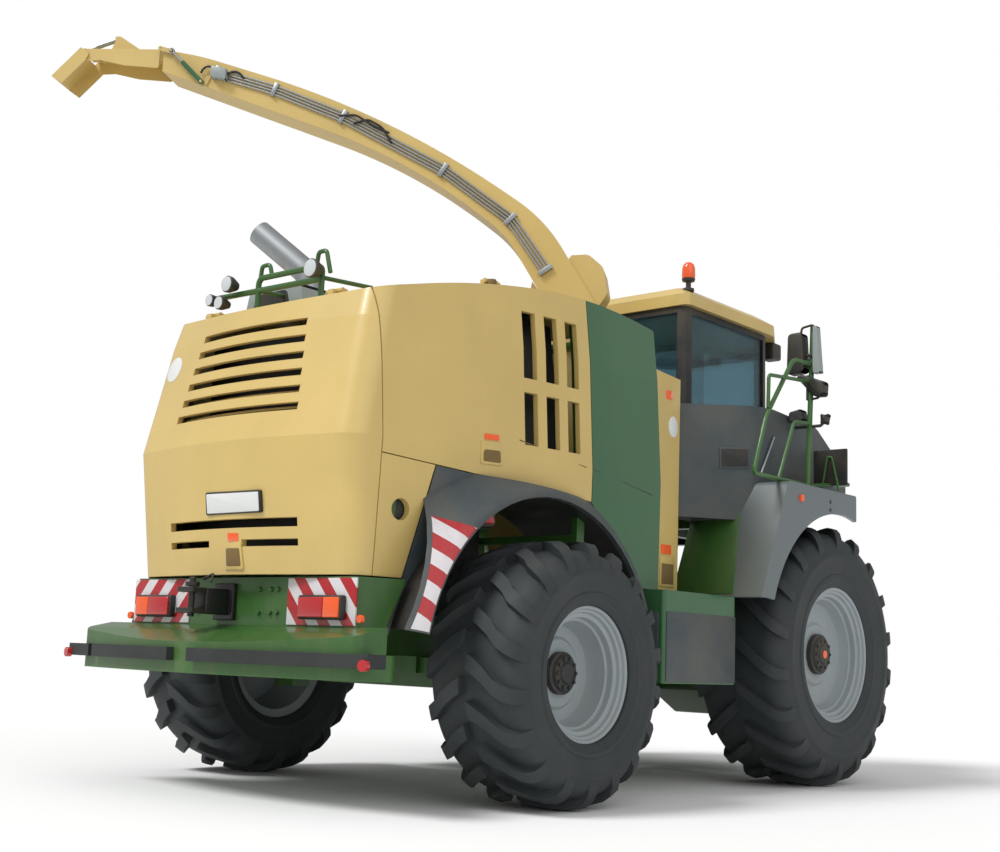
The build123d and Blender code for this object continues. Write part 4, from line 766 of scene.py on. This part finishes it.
def hood_plate():
    """Blank number plate in its frame."""
    outer = ((0.155, 4.552, 1.757), (-0.334, 4.545, 1.753), (-0.336, 4.529, 1.623), (0.153, 4.536, 1.622))
    patch("plate_frame", outer, 0.022, BLACK_SHELL, "hood", 0.012)
    inner = ((0.143, 4.552, 1.747), (-0.322, 4.545, 1.743), (-0.324, 4.529, 1.633), (0.141, 4.536, 1.632))
    patch("number_plate", inner, 0.025, BLANK_SIGN, "hood", 0.008)
    disc("round_sign", (0.7904, 4.3983, 2.5988), (0.153, 0.965, 0.211), 0.085, BLANK_SIGN, 0.004, "hood")


def hood_latch():
    rim_at = ((-0.005, 4.527, 1.455), (-0.15, 4.520, 1.454), (-0.168, 4.503, 1.300), (0.000, 4.507, 1.300))
    hollow_at = ((-0.025, 4.525, 1.425), (-0.135, 4.519, 1.424), (-0.15, 4.504, 1.32), (-0.02, 4.508, 1.32))
    pocket("hood_latch", rim_at, hollow_at, (0.010, 0.012), "hood")
    sticker = (
        (-0.035, 4.533, 1.512), (-0.125, 4.526, 1.511), (-0.127, 4.519, 1.465), (-0.037, 4.526, 1.465),
    )
    note("hood_note", sticker, 0.008, "hood")


def hood_louvres():
    """Dark screens behind the openings and a lip on each louvre."""
    for x, y, top, foot in HOOD_SCREENS:
        corners = ((x, y, top), (-x, y, top), (-x, y, foot), (x, y, foot))
        plate("radiator_screen", corners, (0, -0.01, 0), BLACK_PAINT, "hood")
    for left, right, height in LOUVRE_LINES:
        middle = (left + right) / 2
        places = [middle + share * (left - right) / 2 for share in LOUVRE_SHARES]
        tube("louvre_lip", [(x, hood_y(x, height) - 0.004, height) for x in places], 0.009, BODY, "hood")


# Sides: flare, lamps, latches, signs

ARCH_MIDDLE = Vector((0.0, 3.095, 0.745))
ARCH_R = 1.075
# Row of the flare: its plane on the right, and its size against the arch's edge
FLARE_ROWS = (
    (-1.327, 1.0), (-1.329, 1.014), (-1.318, 1.036), (-1.28, 1.072), (-1.20, 1.135), (-1.10, 1.205),
    (-0.98, 1.28),
)
FLARE_STEPS = 24
LINER_ROWS = ((-1.30, 0.998), (-1.0, 0.998), (-0.64, 0.998))
BOARD_STAND = 0.009
# Trimming planes: a point and the side that goes
FLARE_TOP = ((0, 2.62, 1.842), (0, -0.0687, 0.9976))
FLARE_REAR = ((0, 3.895, 1.932), (0, 0.935, 0.355))
BOARD_REAR_EDGE = ((0, 3.881, 1.925), (0, 0.935, 0.355))
BOARD_TOP_EDGE = ((0, 3.86, 1.585), (0, -0.30, 0.95))


def flare(name, rows, low, high, look, cuts, thick):
    """Band of the mudguard's flare between two angles, trimmed by planes."""
    step = (high - low) / FLARE_STEPS
    x, size = rows[0]
    arc = []
    for i in range(FLARE_STEPS + 1):
        angle = radians(low + i * step)
        y = ARCH_MIDDLE.y + size * ARCH_R * cos(angle)
        z = ARCH_MIDDLE.z + size * ARCH_R * sin(angle)
        arc.append((x, y, z))
    chain(arc)
    for (x0, size0), (x1, size1) in zip(rows, rows[1:]):
        bpy.ops.mesh.extrude_region_move(TRANSFORM_OT_translate={"value": (x1 - x0, 0, 0)})
        scale = size1 / size0
        centre = (x1, ARCH_MIDDLE.y, ARCH_MIDDLE.z)
        bpy.ops.transform.resize(value=(1, scale, scale), center_override=centre)
    for place, normal in cuts:
        bpy.ops.mesh.select_all(action="SELECT")
        bpy.ops.mesh.bisect(plane_co=place, plane_no=normal, clear_outer=True)
    bpy.ops.object.mode_set(mode="OBJECT")
    wall = bpy.context.object.modifiers.new("wall", "SOLIDIFY")
    wall.thickness = thick
    wall.offset = 0
    bpy.ops.object.modifier_apply(modifier="wall")
    return finished(name, look, "root", 40)


def mirrored(piece, name, body="root"):
    """A copy of the piece on the other side of the machine."""
    bpy.ops.object.select_all(action="DESELECT")
    piece.select_set(True)
    bpy.context.view_layer.objects.active = piece
    bpy.ops.object.duplicate()
    copy = bpy.context.object
    copy.parent = None
    copy.name = name
    bpy.ops.object.mode_set(mode="EDIT")
    bpy.ops.mesh.select_all(action="SELECT")
    bpy.ops.transform.mirror(constraint_axis=(True, False, False), center_override=(0, 0, 0))
    bpy.ops.mesh.normals_make_consistent(inside=False)
    bpy.ops.object.mode_set(mode="OBJECT")
    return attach(copy, body)


def arch_fittings():
    """Flare, liner and striped board of the rear arches."""
    whole = flare("rear_flare_right", FLARE_ROWS, 11.5, 160.5, SLATE_SHELL, (FLARE_TOP, FLARE_REAR), 0.012)
    mirrored(whole, "rear_flare_left")
    liner = flare("arch_liner_right", LINER_ROWS, 13, 159, BLACK_PAINT, (), 0.006)
    mirrored(liner, "arch_liner_left")
    rows = [(x - BOARD_STAND, size) for x, size in FLARE_ROWS[1:]]
    cuts = (BOARD_REAR_EDGE, BOARD_TOP_EDGE)
    board = flare("fender_board_right", rows, 12, 60, BOARD_SIDE, cuts, 0.003)
    mirrored(board, "fender_board_left")


def fender_lamps():
    """Tail lamp on the flare with a round and a square lens."""
    shell_at = ((-1.135, 3.72, 1.765), (-1.165, 3.50, 1.768), (-1.215, 3.53, 1.60), (-1.205, 3.67, 1.585))
    square_at = ((-1.19, 3.67, 1.675), (-1.205, 3.55, 1.678), (-1.225, 3.555, 1.615), (-1.21, 3.67, 1.612))
    round_at, round_normal = (-1.178, 3.605, 1.725), (-0.96, 0.13, 0.2)
    pieces = [
        patch("fender_lamp", shell_at, 0.030, BLACK_SHELL, corner=0.03, bevel=0.004),
        disc("fender_lamp_round", round_at, round_normal, 0.034, RED_LENS, 0.03),
        patch("fender_lamp_square", square_at, 0.030, RED_LENS, corner=0.008),
    ]
    for piece in pieces:
        mirrored(piece, f"{piece.name}_left")


def flank_fittings():
    """Handle and sticker of the right flank, and the port in each corner panel."""
    rim_at = (
        (-1.1318, 3.575, 2.121), (-1.1564, 3.4075, 2.125), (-1.1609, 3.4031, 1.985), (-1.1355, 3.5738, 1.98),
    )
    hollow_at = (
        (-1.134, 3.557, 2.070), (-1.156, 3.425, 2.073), (-1.159, 3.421, 2.0), (-1.137, 3.556, 1.997),
    )
    pocket("flank_latch", rim_at, hollow_at, (0.008, 0.0095), "flank_right")
    sticker = (
        (-1.136, 3.545, 2.165), (-1.152, 3.435, 2.168), (-1.154, 3.433, 2.135), (-1.138, 3.543, 2.132),
    )
    note("flank_note", sticker, 0.006, "flank_right")
    port = disc("side_port", (-1.000, 4.065, 1.655), (-0.99, 0.15, -0.03), 0.083, BLACK_SHELL, 0.004)
    mirrored(port, "side_port_left")


def column_fittings():
    """Blank round sign and handle of the right column."""
    disc("column_sign", (-1.1407, 1.5482, 2.5006), (-0.987, -0.159, 0), 0.075, BLANK_SIGN, 0.004)
    rim_at = ((-1.170, 1.73, 1.585), (-1.134, 1.50, 1.590), (-1.134, 1.50, 1.375), (-1.170, 1.73, 1.370))
    hollow_at = ((-1.167, 1.71, 1.53), (-1.137, 1.52, 1.534), (-1.137, 1.52, 1.395), (-1.167, 1.71, 1.39))
    pocket("column_latch", rim_at, hollow_at, (0.008, 0.0095))


FLANK_SCREEN = ((1.10, 3.30, 2.05), (1.10, 2.74, 2.05), (0.96, 2.74, 3.0), (0.96, 3.30, 3.0))


def side_panels():
    """Screens inside the flanks, and the coloured panels ahead of the rear wheels."""
    for word, side in SIDES:
        corners = [(side * x, y, z) for x, y, z in FLANK_SCREEN]
        plate("flank_screen", corners, (-side * 0.01, 0, 0), BLACK_PAINT, f"flank_{word}")
    wing = ((-0.90, 0.8845, 1.99), (-1.30, 0.8845, 1.99), (-1.41, 1.160, 1.350), (-0.90, 1.160, 1.350))
    mirrored(patch("wing_panel", wing, 0.006, FRAME), "wing_panel_left")
    box_side = ((-1.43, 2.02, 1.19), (-1.43, 1.17, 1.19), (-1.43, 1.17, 0.735), (-1.43, 2.02, 0.735))
    mirrored(patch("box_side", box_side, 0.006, SLATE_SHELL, corner=0.01), "box_side_left")
    box_rear = ((-1.39, 2.05, 1.19), (-0.80, 2.05, 1.19), (-0.80, 2.05, 0.735), (-1.39, 2.05, 0.735))
    mirrored(patch("box_rear", box_rear, 0.006, SLATE_SHELL, corner=0.01), "box_rear_left")


def shroud_fittings():
    """Handle and gas strut of the dark side cover, and the stickers of the column behind it."""
    rim_at = (
        (-1.203, 1.034, 2.425), (-1.344, 0.847, 2.437), (-1.345, 0.846, 2.280), (-1.204, 1.033, 2.265),
    )
    hollow_at = (
        (-1.212, 1.022, 2.412), (-1.336, 0.858, 2.423), (-1.337, 0.857, 2.295), (-1.213, 1.021, 2.28),
    )
    # The grip's hollow is drawn in black: a painted shade.
    looks = (SLATE_SHELL, BLACK_SHELL)
    pocket("shroud_grip", rim_at, hollow_at, (0.006, 0.008), looks=looks, rounding=(0.012, 0.012))
    tube("gas_strut", ((-1.393, 0.575, 2.55), (-1.392, 0.765, 2.245)), 0.008, PIPE)
    stickers = (
        ((-1.160, 1.67, 2.745), (-1.145, 1.57, 2.75), (-1.145, 1.57, 2.69), (-1.160, 1.67, 2.685)),
        ((-1.168, 1.71, 1.66), (-1.14, 1.55, 1.665), (-1.14, 1.55, 1.60), (-1.168, 1.71, 1.598)),
    )
    for corners in stickers:
        note("column_note", corners, 0.005)


def creases():
    """Fold lines that run on from the flank over the glossy panel."""
    tube("band_crease", ((-1.2535, 2.6103, 2.0586), (-1.2571, 1.9603, 1.9668)), 0.003, BLACK_SHELL)
    flank_line = ((-1.1751, 3.265, 2.1624), (-1.212, 2.98, 2.112), (-1.2492, 2.6895, 2.0617))
    tube("flank_crease", flank_line, 0.004, SHADE, "flank_right")


# Deck: heat cover, lamp rail, beacons

RAIL_Y = 4.2
# Bar of the lamp rail: its points, radius and bend
RAIL_BARS = (
    (((-0.36, 0, 3.082), (0.745, 0, 3.098)), 0.019, 0.0),
    (((0.250, 0, 2.95), (0.250, 0, 3.170), (-0.345, 0, 3.165), (-0.345, 0, 2.95)), 0.019, 0.04),
    (((0.236, 0, 3.160), (0.226, 0, 3.248), (0.150, 0, 3.248), (0.124, 0, 3.165)), 0.014, 0.02),
    (((-0.290, 0, 3.160), (-0.305, 0, 3.256), (-0.375, 0, 3.256), (-0.420, 0, 3.110)), 0.014, 0.02),
    (((0.250, 0, 3.09), (0.250, -0.42, 3.12)), 0.014, 0.0),
    (((-0.345, 0, 3.09), (-0.345, -0.42, 3.12)), 0.014, 0.0),
)
# Work lamp: its x, z and radius
WORK_LAMPS = ((-0.346, 3.127, 0.060), (0.452, 3.144, 0.055), (0.521, 3.030, 0.045), (0.62, 3.06, 0.04))
BEACON_X = 0.80
BEACON_Y = 0.86
BEACON_FOOT_Z = 3.690
BEACON_DOME_Z = 3.788
BEACON_FOOT_ROWS = (
    (0, 0), (0.045, 0), (0.045, 0.02), (0.02, 0.03), (0.02, 0.075), (0.048, 0.08), (0.052, 0.10), (0, 0.10),
)
BEACON_DOME_ROWS = (
    (0, 0.0), (0.048, 0.0), (0.052, 0.02), (0.050, 0.085), (0.040, 0.115), (0.022, 0.130), (0, 0.134),
)
DECK_CAP_ROWS = ((0, 0.02), (0.03, 0.018), (0.034, 0.0), (0.034, -0.02), (0, -0.02))


def heat_cover():
    """Grey cover over the exhaust's foot, with a dark arch at its rear."""
    outline = ((0.06, 3.72, 3.02), (0.64, 3.72, 3.02), (0.60, 3.72, 3.178), (0.10, 3.72, 3.178))
    plate("heat_cover", outline, (0, 0.27, 0), GREY_SHELL, bevel=0.012, corner=0.03)
    arch = ((0.19, 3.985, 3.04), (0.55, 3.985, 3.04), (0.52, 3.985, 3.145), (0.22, 3.985, 3.145))
    plate("heat_cover_arch", arch, (0, 0.008, 0), BLACK_SHELL, corner=0.03)


def lamp_rail():
    """Green rail on the deck with its work lamps."""
    bars = []
    for points, radius, bend in RAIL_BARS:
        points = [(x, RAIL_Y + y, z) for x, y, z in points]
        bars.append(tube("lamp_rail", points, radius, FRAME, bend=bend))
    joined("lamp_rail", bars)
    for x, z, radius in WORK_LAMPS:
        rows = (
            (0, -0.035), (radius * 0.5, -0.03), (radius * 0.95, 0.02), (radius, 0.05),
            (radius * 0.9, 0.055), (0, 0.05),
        )
        turned("work_lamp", rows, (x, RAIL_Y + 0.045, z), (0, 1, 0), BLACK_SHELL)
        disc("work_lens", (x, RAIL_Y + 0.100, z), (0, 1, 0), radius * 0.88, CLEAR_LENS, 0.004)


def beacons():
    """Orange beacons on the cab roof and caps on the deck."""
    up = (0, 0, 1)
    for _, side in SIDES:
        x = side * BEACON_X
        turned("beacon_foot", BEACON_FOOT_ROWS, (x, BEACON_Y, BEACON_FOOT_Z), up, BLACK_SHELL)
        turned("beacon_dome", BEACON_DOME_ROWS, (x, BEACON_Y, BEACON_DOME_Z), up, ORANGE_LENS)
    for _, side in SIDES:
        turned("deck_cap", DECK_CAP_ROWS, (side * 0.9, 3.27, 3.19), up, SHADE)


# Beside the cab: guard, mirrors, marker plate, ladder

GUARD_X = -1.55
GUARD_FOOT_Z = 2.202
MIRROR_ARM_Y = 0.315
# Bar of the guard: its points in y and z, radius and bend
GUARD_BARS = (
    (((0.35, GUARD_FOOT_Z), (0.272, 3.442)), 0.020, 0.0),
    (((-0.30, 2.285), (0.35, GUARD_FOOT_Z), (1.14, GUARD_FOOT_Z), (0.97, 2.635), (0.575, 3.125),
      (0.14, 3.145)), 0.017, 0.05),
    (((0.94, 2.70), (0.932, 2.946), (0.30, 3.0)), 0.014, 0.03),
    (((0.786, GUARD_FOOT_Z), (0.562, 2.655), (0.33, 2.676)), 0.014, 0.03),
)
# Arm of a mirror: its points, out from the middle and in z, radius and bend
MIRROR_ARMS = (
    (((1.395, 2.655), (1.640, 2.655), (1.680, 2.700)), 0.012, 0.01),
    (((1.470, 3.370), (1.480, 3.425), (1.570, 3.440), (1.600, 3.400)), 0.009, 0.015),
    (((1.460, 3.205), (1.620, 3.205)), 0.012, 0.0),
    (((1.530, 2.860), (1.625, 2.870), (1.640, 2.920)), 0.009, 0.015),
    (((1.530, 3.050), (1.530, 2.860)), 0.012, 0.0),
)
# Housing of a mirror or lamp: its outline, out from the middle and in z, near face, depth and corner
MIRROR_SHELLS = (
    (((1.375, 3.060), (1.385, 3.380), (1.505, 3.385), (1.524, 3.075)), 0.26, 0.11, 0.03),
    (((1.445, 3.043), (1.500, 3.056), (1.682, 2.985), (1.675, 2.878), (1.590, 2.880)), 0.26, 0.09, 0.02),
    (((1.395, 2.690), (1.395, 2.770), (1.500, 2.790), (1.520, 2.690)), 0.27, 0.10, 0.02),
    (((1.650, 2.670), (1.650, 2.735), (1.714, 2.731), (1.700, 2.660)), 0.29, 0.06, 0.008),
)
MIRROR_EDGE = ((1.575, 3.060), (1.575, 3.430), (1.612, 3.426), (1.640, 3.060))
MARKER_PLATE = ((1.416, 2.242), (1.416, 2.521), (1.696, 2.521), (1.696, 2.242))
MARKER_FRAME = ((1.49, 2.20), (1.539, 2.462), (1.577, 2.459), (1.636, 2.20))


def on_right(points, y):
    """Points of a plane across the machine, on its right."""
    return [(-out, y, z) for out, z in points]


def right_guard():
    """Green guard in front of the cab's right side, with its mirrors and marker plate."""
    rails = []
    for points, radius, bend in GUARD_BARS:
        rails.append(tube("guard", [(GUARD_X, y, z) for y, z in points], radius, FRAME, bend=bend))
    joined("guard_right", rails)
    arms = []
    for points, radius, bend in MIRROR_ARMS:
        arms.append(tube("arm", on_right(points, MIRROR_ARM_Y), radius, BLACK_SHELL, bend=bend))
    joined("mirror_arms_right", arms)
    shells = []
    for points, y, depth, corner in MIRROR_SHELLS:
        outline = on_right(points, y)
        shells.append(plate("mirror", outline, (0, depth, 0), BLACK_SHELL, bevel=0.012, corner=corner))
    joined("mirrors_right", shells)
    edge = on_right(MIRROR_EDGE, 0.27)
    plate("mirror_edge_right", edge, (0, 0.06, 0), GREY_SHELL, bevel=0.006, corner=0.01)
    marker = on_right(MARKER_PLATE, -0.01)
    plate("marker_plate_right", marker, (0, 0.02, 0), BLACK_SHELL, bevel=0.004, corner=0.01)
    tube("marker_frame_right", on_right(MARKER_FRAME, 0.02), 0.010, FRAME, bend=0.01)


LADDER_X = (0.95, 1.53)
LADDER_Y = (-1.09, -1.02)
LADDER_FOOT_Z = 0.52
LADDER_TOP_Z = 2.0
LADDER_STEPS = 6
LADDER_FIRST_Z = 0.56
LADDER_PITCH = 0.268
STRINGER_HALF = 0.015
STEP_THICK = 0.03


def left_mirror():
    """Mirror on the roof's corner."""
    arm = ((0.80, -0.78, 3.575), (1.20, -0.84, 3.54), (1.47, -0.86, 3.44), (1.47, -0.86, 3.30))
    tube("left_mirror_arm", arm, 0.013, BLACK_SHELL, bend=0.04)
    outline = ((1.39, -0.90, 3.04), (1.40, -0.90, 3.37), (1.53, -0.90, 3.38), (1.55, -0.90, 3.06))
    plate("left_mirror", outline, (0, 0.10, 0), BLACK_SHELL, bevel=0.012, corner=0.03)


def ladder():
    """Platform ahead of the left wheel with its ladder and handrails."""
    front, rear = LADDER_Y
    pieces = [box("ladder", (0.89, -1.06, 1.96), (1.56, -0.265, 2.01), FRAME, bevel=0.006)]
    for x in LADDER_X:
        low = (x - STRINGER_HALF, front, LADDER_FOOT_Z)
        high = (x + STRINGER_HALF, rear, LADDER_TOP_Z)
        pieces.append(box("ladder", low, high, FRAME, bevel=0.003))
        rail = ((x, -1.055, 1.98), (x, -1.055, 2.86), (x, -0.90, 2.92))
        pieces.append(tube("ladder", rail, 0.017, FRAME, bend=0.05))
    left, right = LADDER_X
    for step in range(LADDER_STEPS):
        z = LADDER_FIRST_Z + step * LADDER_PITCH
        pieces.append(box("ladder", (left, front, z), (right, rear, z + STEP_THICK), FRAME, bevel=0.003))
    joined("ladder", pieces)


FENDER_FACE_X = 1.64


def front_fender_fittings(name, side):
    """Turn lamp and two bolt holes on a front fender's skirt."""
    x = side * FENDER_FACE_X
    disc(f"fender_turn_{name}", (x, 0.616, 2.077), (side, 0, 0), 0.026, ORANGE_LENS, 0.016)
    for z in (2.096, 2.036):
        disc(f"fender_hole_{name}", (x, 0.164, z), (side, 0, 0), 0.016, BLACK_SHELL, 0.001)


# Spout: pipes, clamps and hoses

SPOUT_TURN = radians(60)
SPOUT_FOOT = 1.56


def on_spout(reach, height, across):
    """A point from its place in the spout's own plane."""
    return Vector((
        sin(SPOUT_TURN) * reach + cos(SPOUT_TURN) * across,
        SPOUT_FOOT + cos(SPOUT_TURN) * reach - sin(SPOUT_TURN) * across,
        height,
    ))


# Clamp: its reach from the spout's foot and its height
CLAMPS = ((0.017, 3.767), (0.303, 4.176), (0.851, 4.586), (1.691, 5.052), (2.278, 5.303), (2.790, 5.470))
PIPES = 4
PIPE_PITCH = 0.024
PIPE_R = 0.007
PIPE_ACROSS = -0.173
CLAMP_ACROSS = -0.158
HOSE_ACROSS = -0.185
HOSE_R = 0.009
# Corners of a clamp, along the spout and over it
CLAMP_CORNERS = ((-0.018, -0.058), (0.018, -0.058), (0.018, 0.058), (-0.018, 0.058))
VALVE_CORNERS = ((2.690, 5.390), (2.690, 5.486), (2.822, 5.516), (2.822, 5.424))
HOSES = (
    ((2.80, 5.50), (2.85, 5.530), (2.90, 5.515), (2.92, 5.47)),
    ((2.70, 5.45), (2.64, 5.475), (2.58, 5.455), (2.55, 5.41)),
    ((1.60, 4.99), (1.48, 5.02), (1.36, 4.95), (1.28, 4.82)),
    ((1.72, 5.06), (1.58, 5.06), (1.44, 4.97), (1.30, 4.90)),
)


def beside_clamp(i, along, over, across):
    """A point beside clamp number i, from its place along the spout's line and over it."""
    reach, height = CLAMPS[i]
    before, after = CLAMPS[max(i - 1, 0)], CLAMPS[min(i + 1, len(CLAMPS) - 1)]
    run = Vector((after[0] - before[0], after[1] - before[1])).normalized()
    return on_spout(reach + run.x * along - run.y * over, height + run.y * along + run.x * over, across)


def spout_depth(across):
    """A step across the spout."""
    return on_spout(0, 0, across) - on_spout(0, 0, 0)


def spout_fittings():
    """Four pipes in clamps, a valve box and the hoses."""
    pipes = []
    for k in range(PIPES):
        over = (k - (PIPES - 1) / 2) * PIPE_PITCH
        points = [beside_clamp(i, 0.0, over, PIPE_ACROSS) for i in range(len(CLAMPS))]
        pipes.append(tube("spout_pipe", points, PIPE_R, PIPE, "spout", 0.05))
    joined("spout_pipes", pipes)
    clamps = []
    for i in range(len(CLAMPS)):
        outline = [beside_clamp(i, along, over, CLAMP_ACROSS) for along, over in CLAMP_CORNERS]
        clamps.append(plate("clamp", outline, spout_depth(-0.028), PIPE, "spout", 0.002))
    joined("spout_clamps", clamps)
    valve = [on_spout(reach, height, CLAMP_ACROSS) for reach, height in VALVE_CORNERS]
    plate("valve_box", valve, spout_depth(-0.065), GREY_SHELL, "spout", 0.004, 0.01)
    for route in HOSES:
        points = [on_spout(reach, height, HOSE_ACROSS) for reach, height in route]
        tube("spout_hose", points, HOSE_R, HOSE_RUBBER, "spout", 0.03)


# Cab: lamps under the roof's corners and seat covers

def roof_lamp(name, side):
    low, high = sorted((side * 0.64, side * 0.77))
    box(f"roof_lamp_{name}", (low, -0.64, 3.42), (high, -0.50, 3.562), BLACK_SHELL, bevel=0.02)


def seat_covers():
    cushion = box("seat_cushion", (-0.255, 0.08, 2.405), (0.255, 0.60, 2.505), SEAT_CLOTH, bevel=0.035)
    back = box("seat_back", (-0.245, 0.53, 2.50), (0.245, 0.66, 3.05), SEAT_CLOTH, bevel=0.04)


# Studio

def aim(piece, direction):
    """Turns a lamp so that its light comes from that direction."""
    piece.rotation_euler = direction.to_track_quat("Z", "Y").to_euler()


def lamp(name, direction, strength, angle):
    light = bpy.data.lights.new(name, "SUN")
    light.energy = strength
    light.angle = angle
    piece = bpy.data.objects.new(name, light)
    bpy.context.scene.collection.objects.link(piece)
    aim(piece, direction)


def floor_finish():
    """White floor that keeps the shadow and fades into the white backdrop."""
    finish = Finish("floor_white")
    along = (finish.axis("X") - FLOOR_CENTRE.x) ** 2.0
    across = (finish.axis("Y") - FLOOR_CENTRE.y) ** 2.0
    away = finish.spread((along + across) ** 0.5, FLOOR_SOLID_R, FLOOR_FADE_R)
    matt = finish.node("ShaderNodeBsdfDiffuse", {}, {"Color": rgba((FLOOR_WHITE,) * 3)})
    clear = finish.node("ShaderNodeBsdfTransparent")
    mixed = finish.node("ShaderNodeMixShader", {}, {0: away, 1: matt, 2: clear})
    finish.node("ShaderNodeOutputMaterial", {}, {"Surface": mixed})
    return finish.material


def world_light():
    """Even sky for the object, plain white for the camera and for what is seen through glass."""
    world = bpy.data.worlds.new("studio")
    bpy.context.scene.world = world
    sky = Finish("studio", world)
    path = sky.node("ShaderNodeLightPath")
    rays = {0: path.out("Is Camera Ray"), 1: path.out("Is Transmission Ray")}
    seen = sky.node("ShaderNodeMath", {"operation": "MAXIMUM"}, rays)
    level = sky.spread(seen, 0.0, 1.0, SKY_STRENGTH, 1.0)
    light = sky.node("ShaderNodeBackground", {}, {"Color": rgba((1.0, 1.0, 1.0)), "Strength": level})
    sky.node("ShaderNodeOutputWorld", {}, {"Surface": light})


def studio():
    bpy.ops.mesh.primitive_plane_add(size=2 * FLOOR_HALF, location=FLOOR_CENTRE)
    floor = bpy.context.object
    floor.name = "floor"
    bpy.ops.object.transform_apply(location=True)
    floor.data.materials.append(floor_finish())
    lamp("sun", SUN_FROM, SUN_STRENGTH, SUN_ANGLE)
    lamp("fill", FILL_FROM, FILL_STRENGTH, FILL_ANGLE)
    world_light()


def photo_camera():
    ahead = Vector((
        sin(CAMERA_YAW) * cos(CAMERA_PITCH),
        -cos(CAMERA_YAW) * cos(CAMERA_PITCH),
        sin(CAMERA_PITCH),
    ))
    level_right = ahead.cross(Vector((0, 0, 1))).normalized()
    level_up = level_right.cross(ahead)
    right = level_right * cos(CAMERA_ROLL) + level_up * sin(CAMERA_ROLL)
    up = right.cross(ahead)
    data = bpy.data.cameras.new("photo_camera")
    data.sensor_fit = "HORIZONTAL"
    data.sensor_width = CAMERA_SENSOR
    data.lens = CAMERA_LENS
    camera = bpy.data.objects.new("photo_camera", data)
    bpy.context.scene.collection.objects.link(camera)
    turn = Matrix((right, up, -ahead)).transposed().to_4x4()
    camera.matrix_world = Matrix.Translation(EYE) @ turn
    bpy.context.scene.camera = camera


bpy.context.scene.view_settings.view_transform = "Standard"
photo_camera()
studio()
dress_nodes()
wheels()
both_sides(rear_boards, "rear")
coupling()
bumper_fittings()
hood_plate()
hood_latch()
hood_louvres()
arch_fittings()
fender_lamps()
flank_fittings()
column_fittings()
side_panels()
shroud_fittings()
creases()
heat_cover()
lamp_rail()
beacons()
right_guard()
left_mirror()
ladder()
both_sides(front_fender_fittings, "front")
spout_fittings()
both_sides(roof_lamp, "roof")
seat_covers()
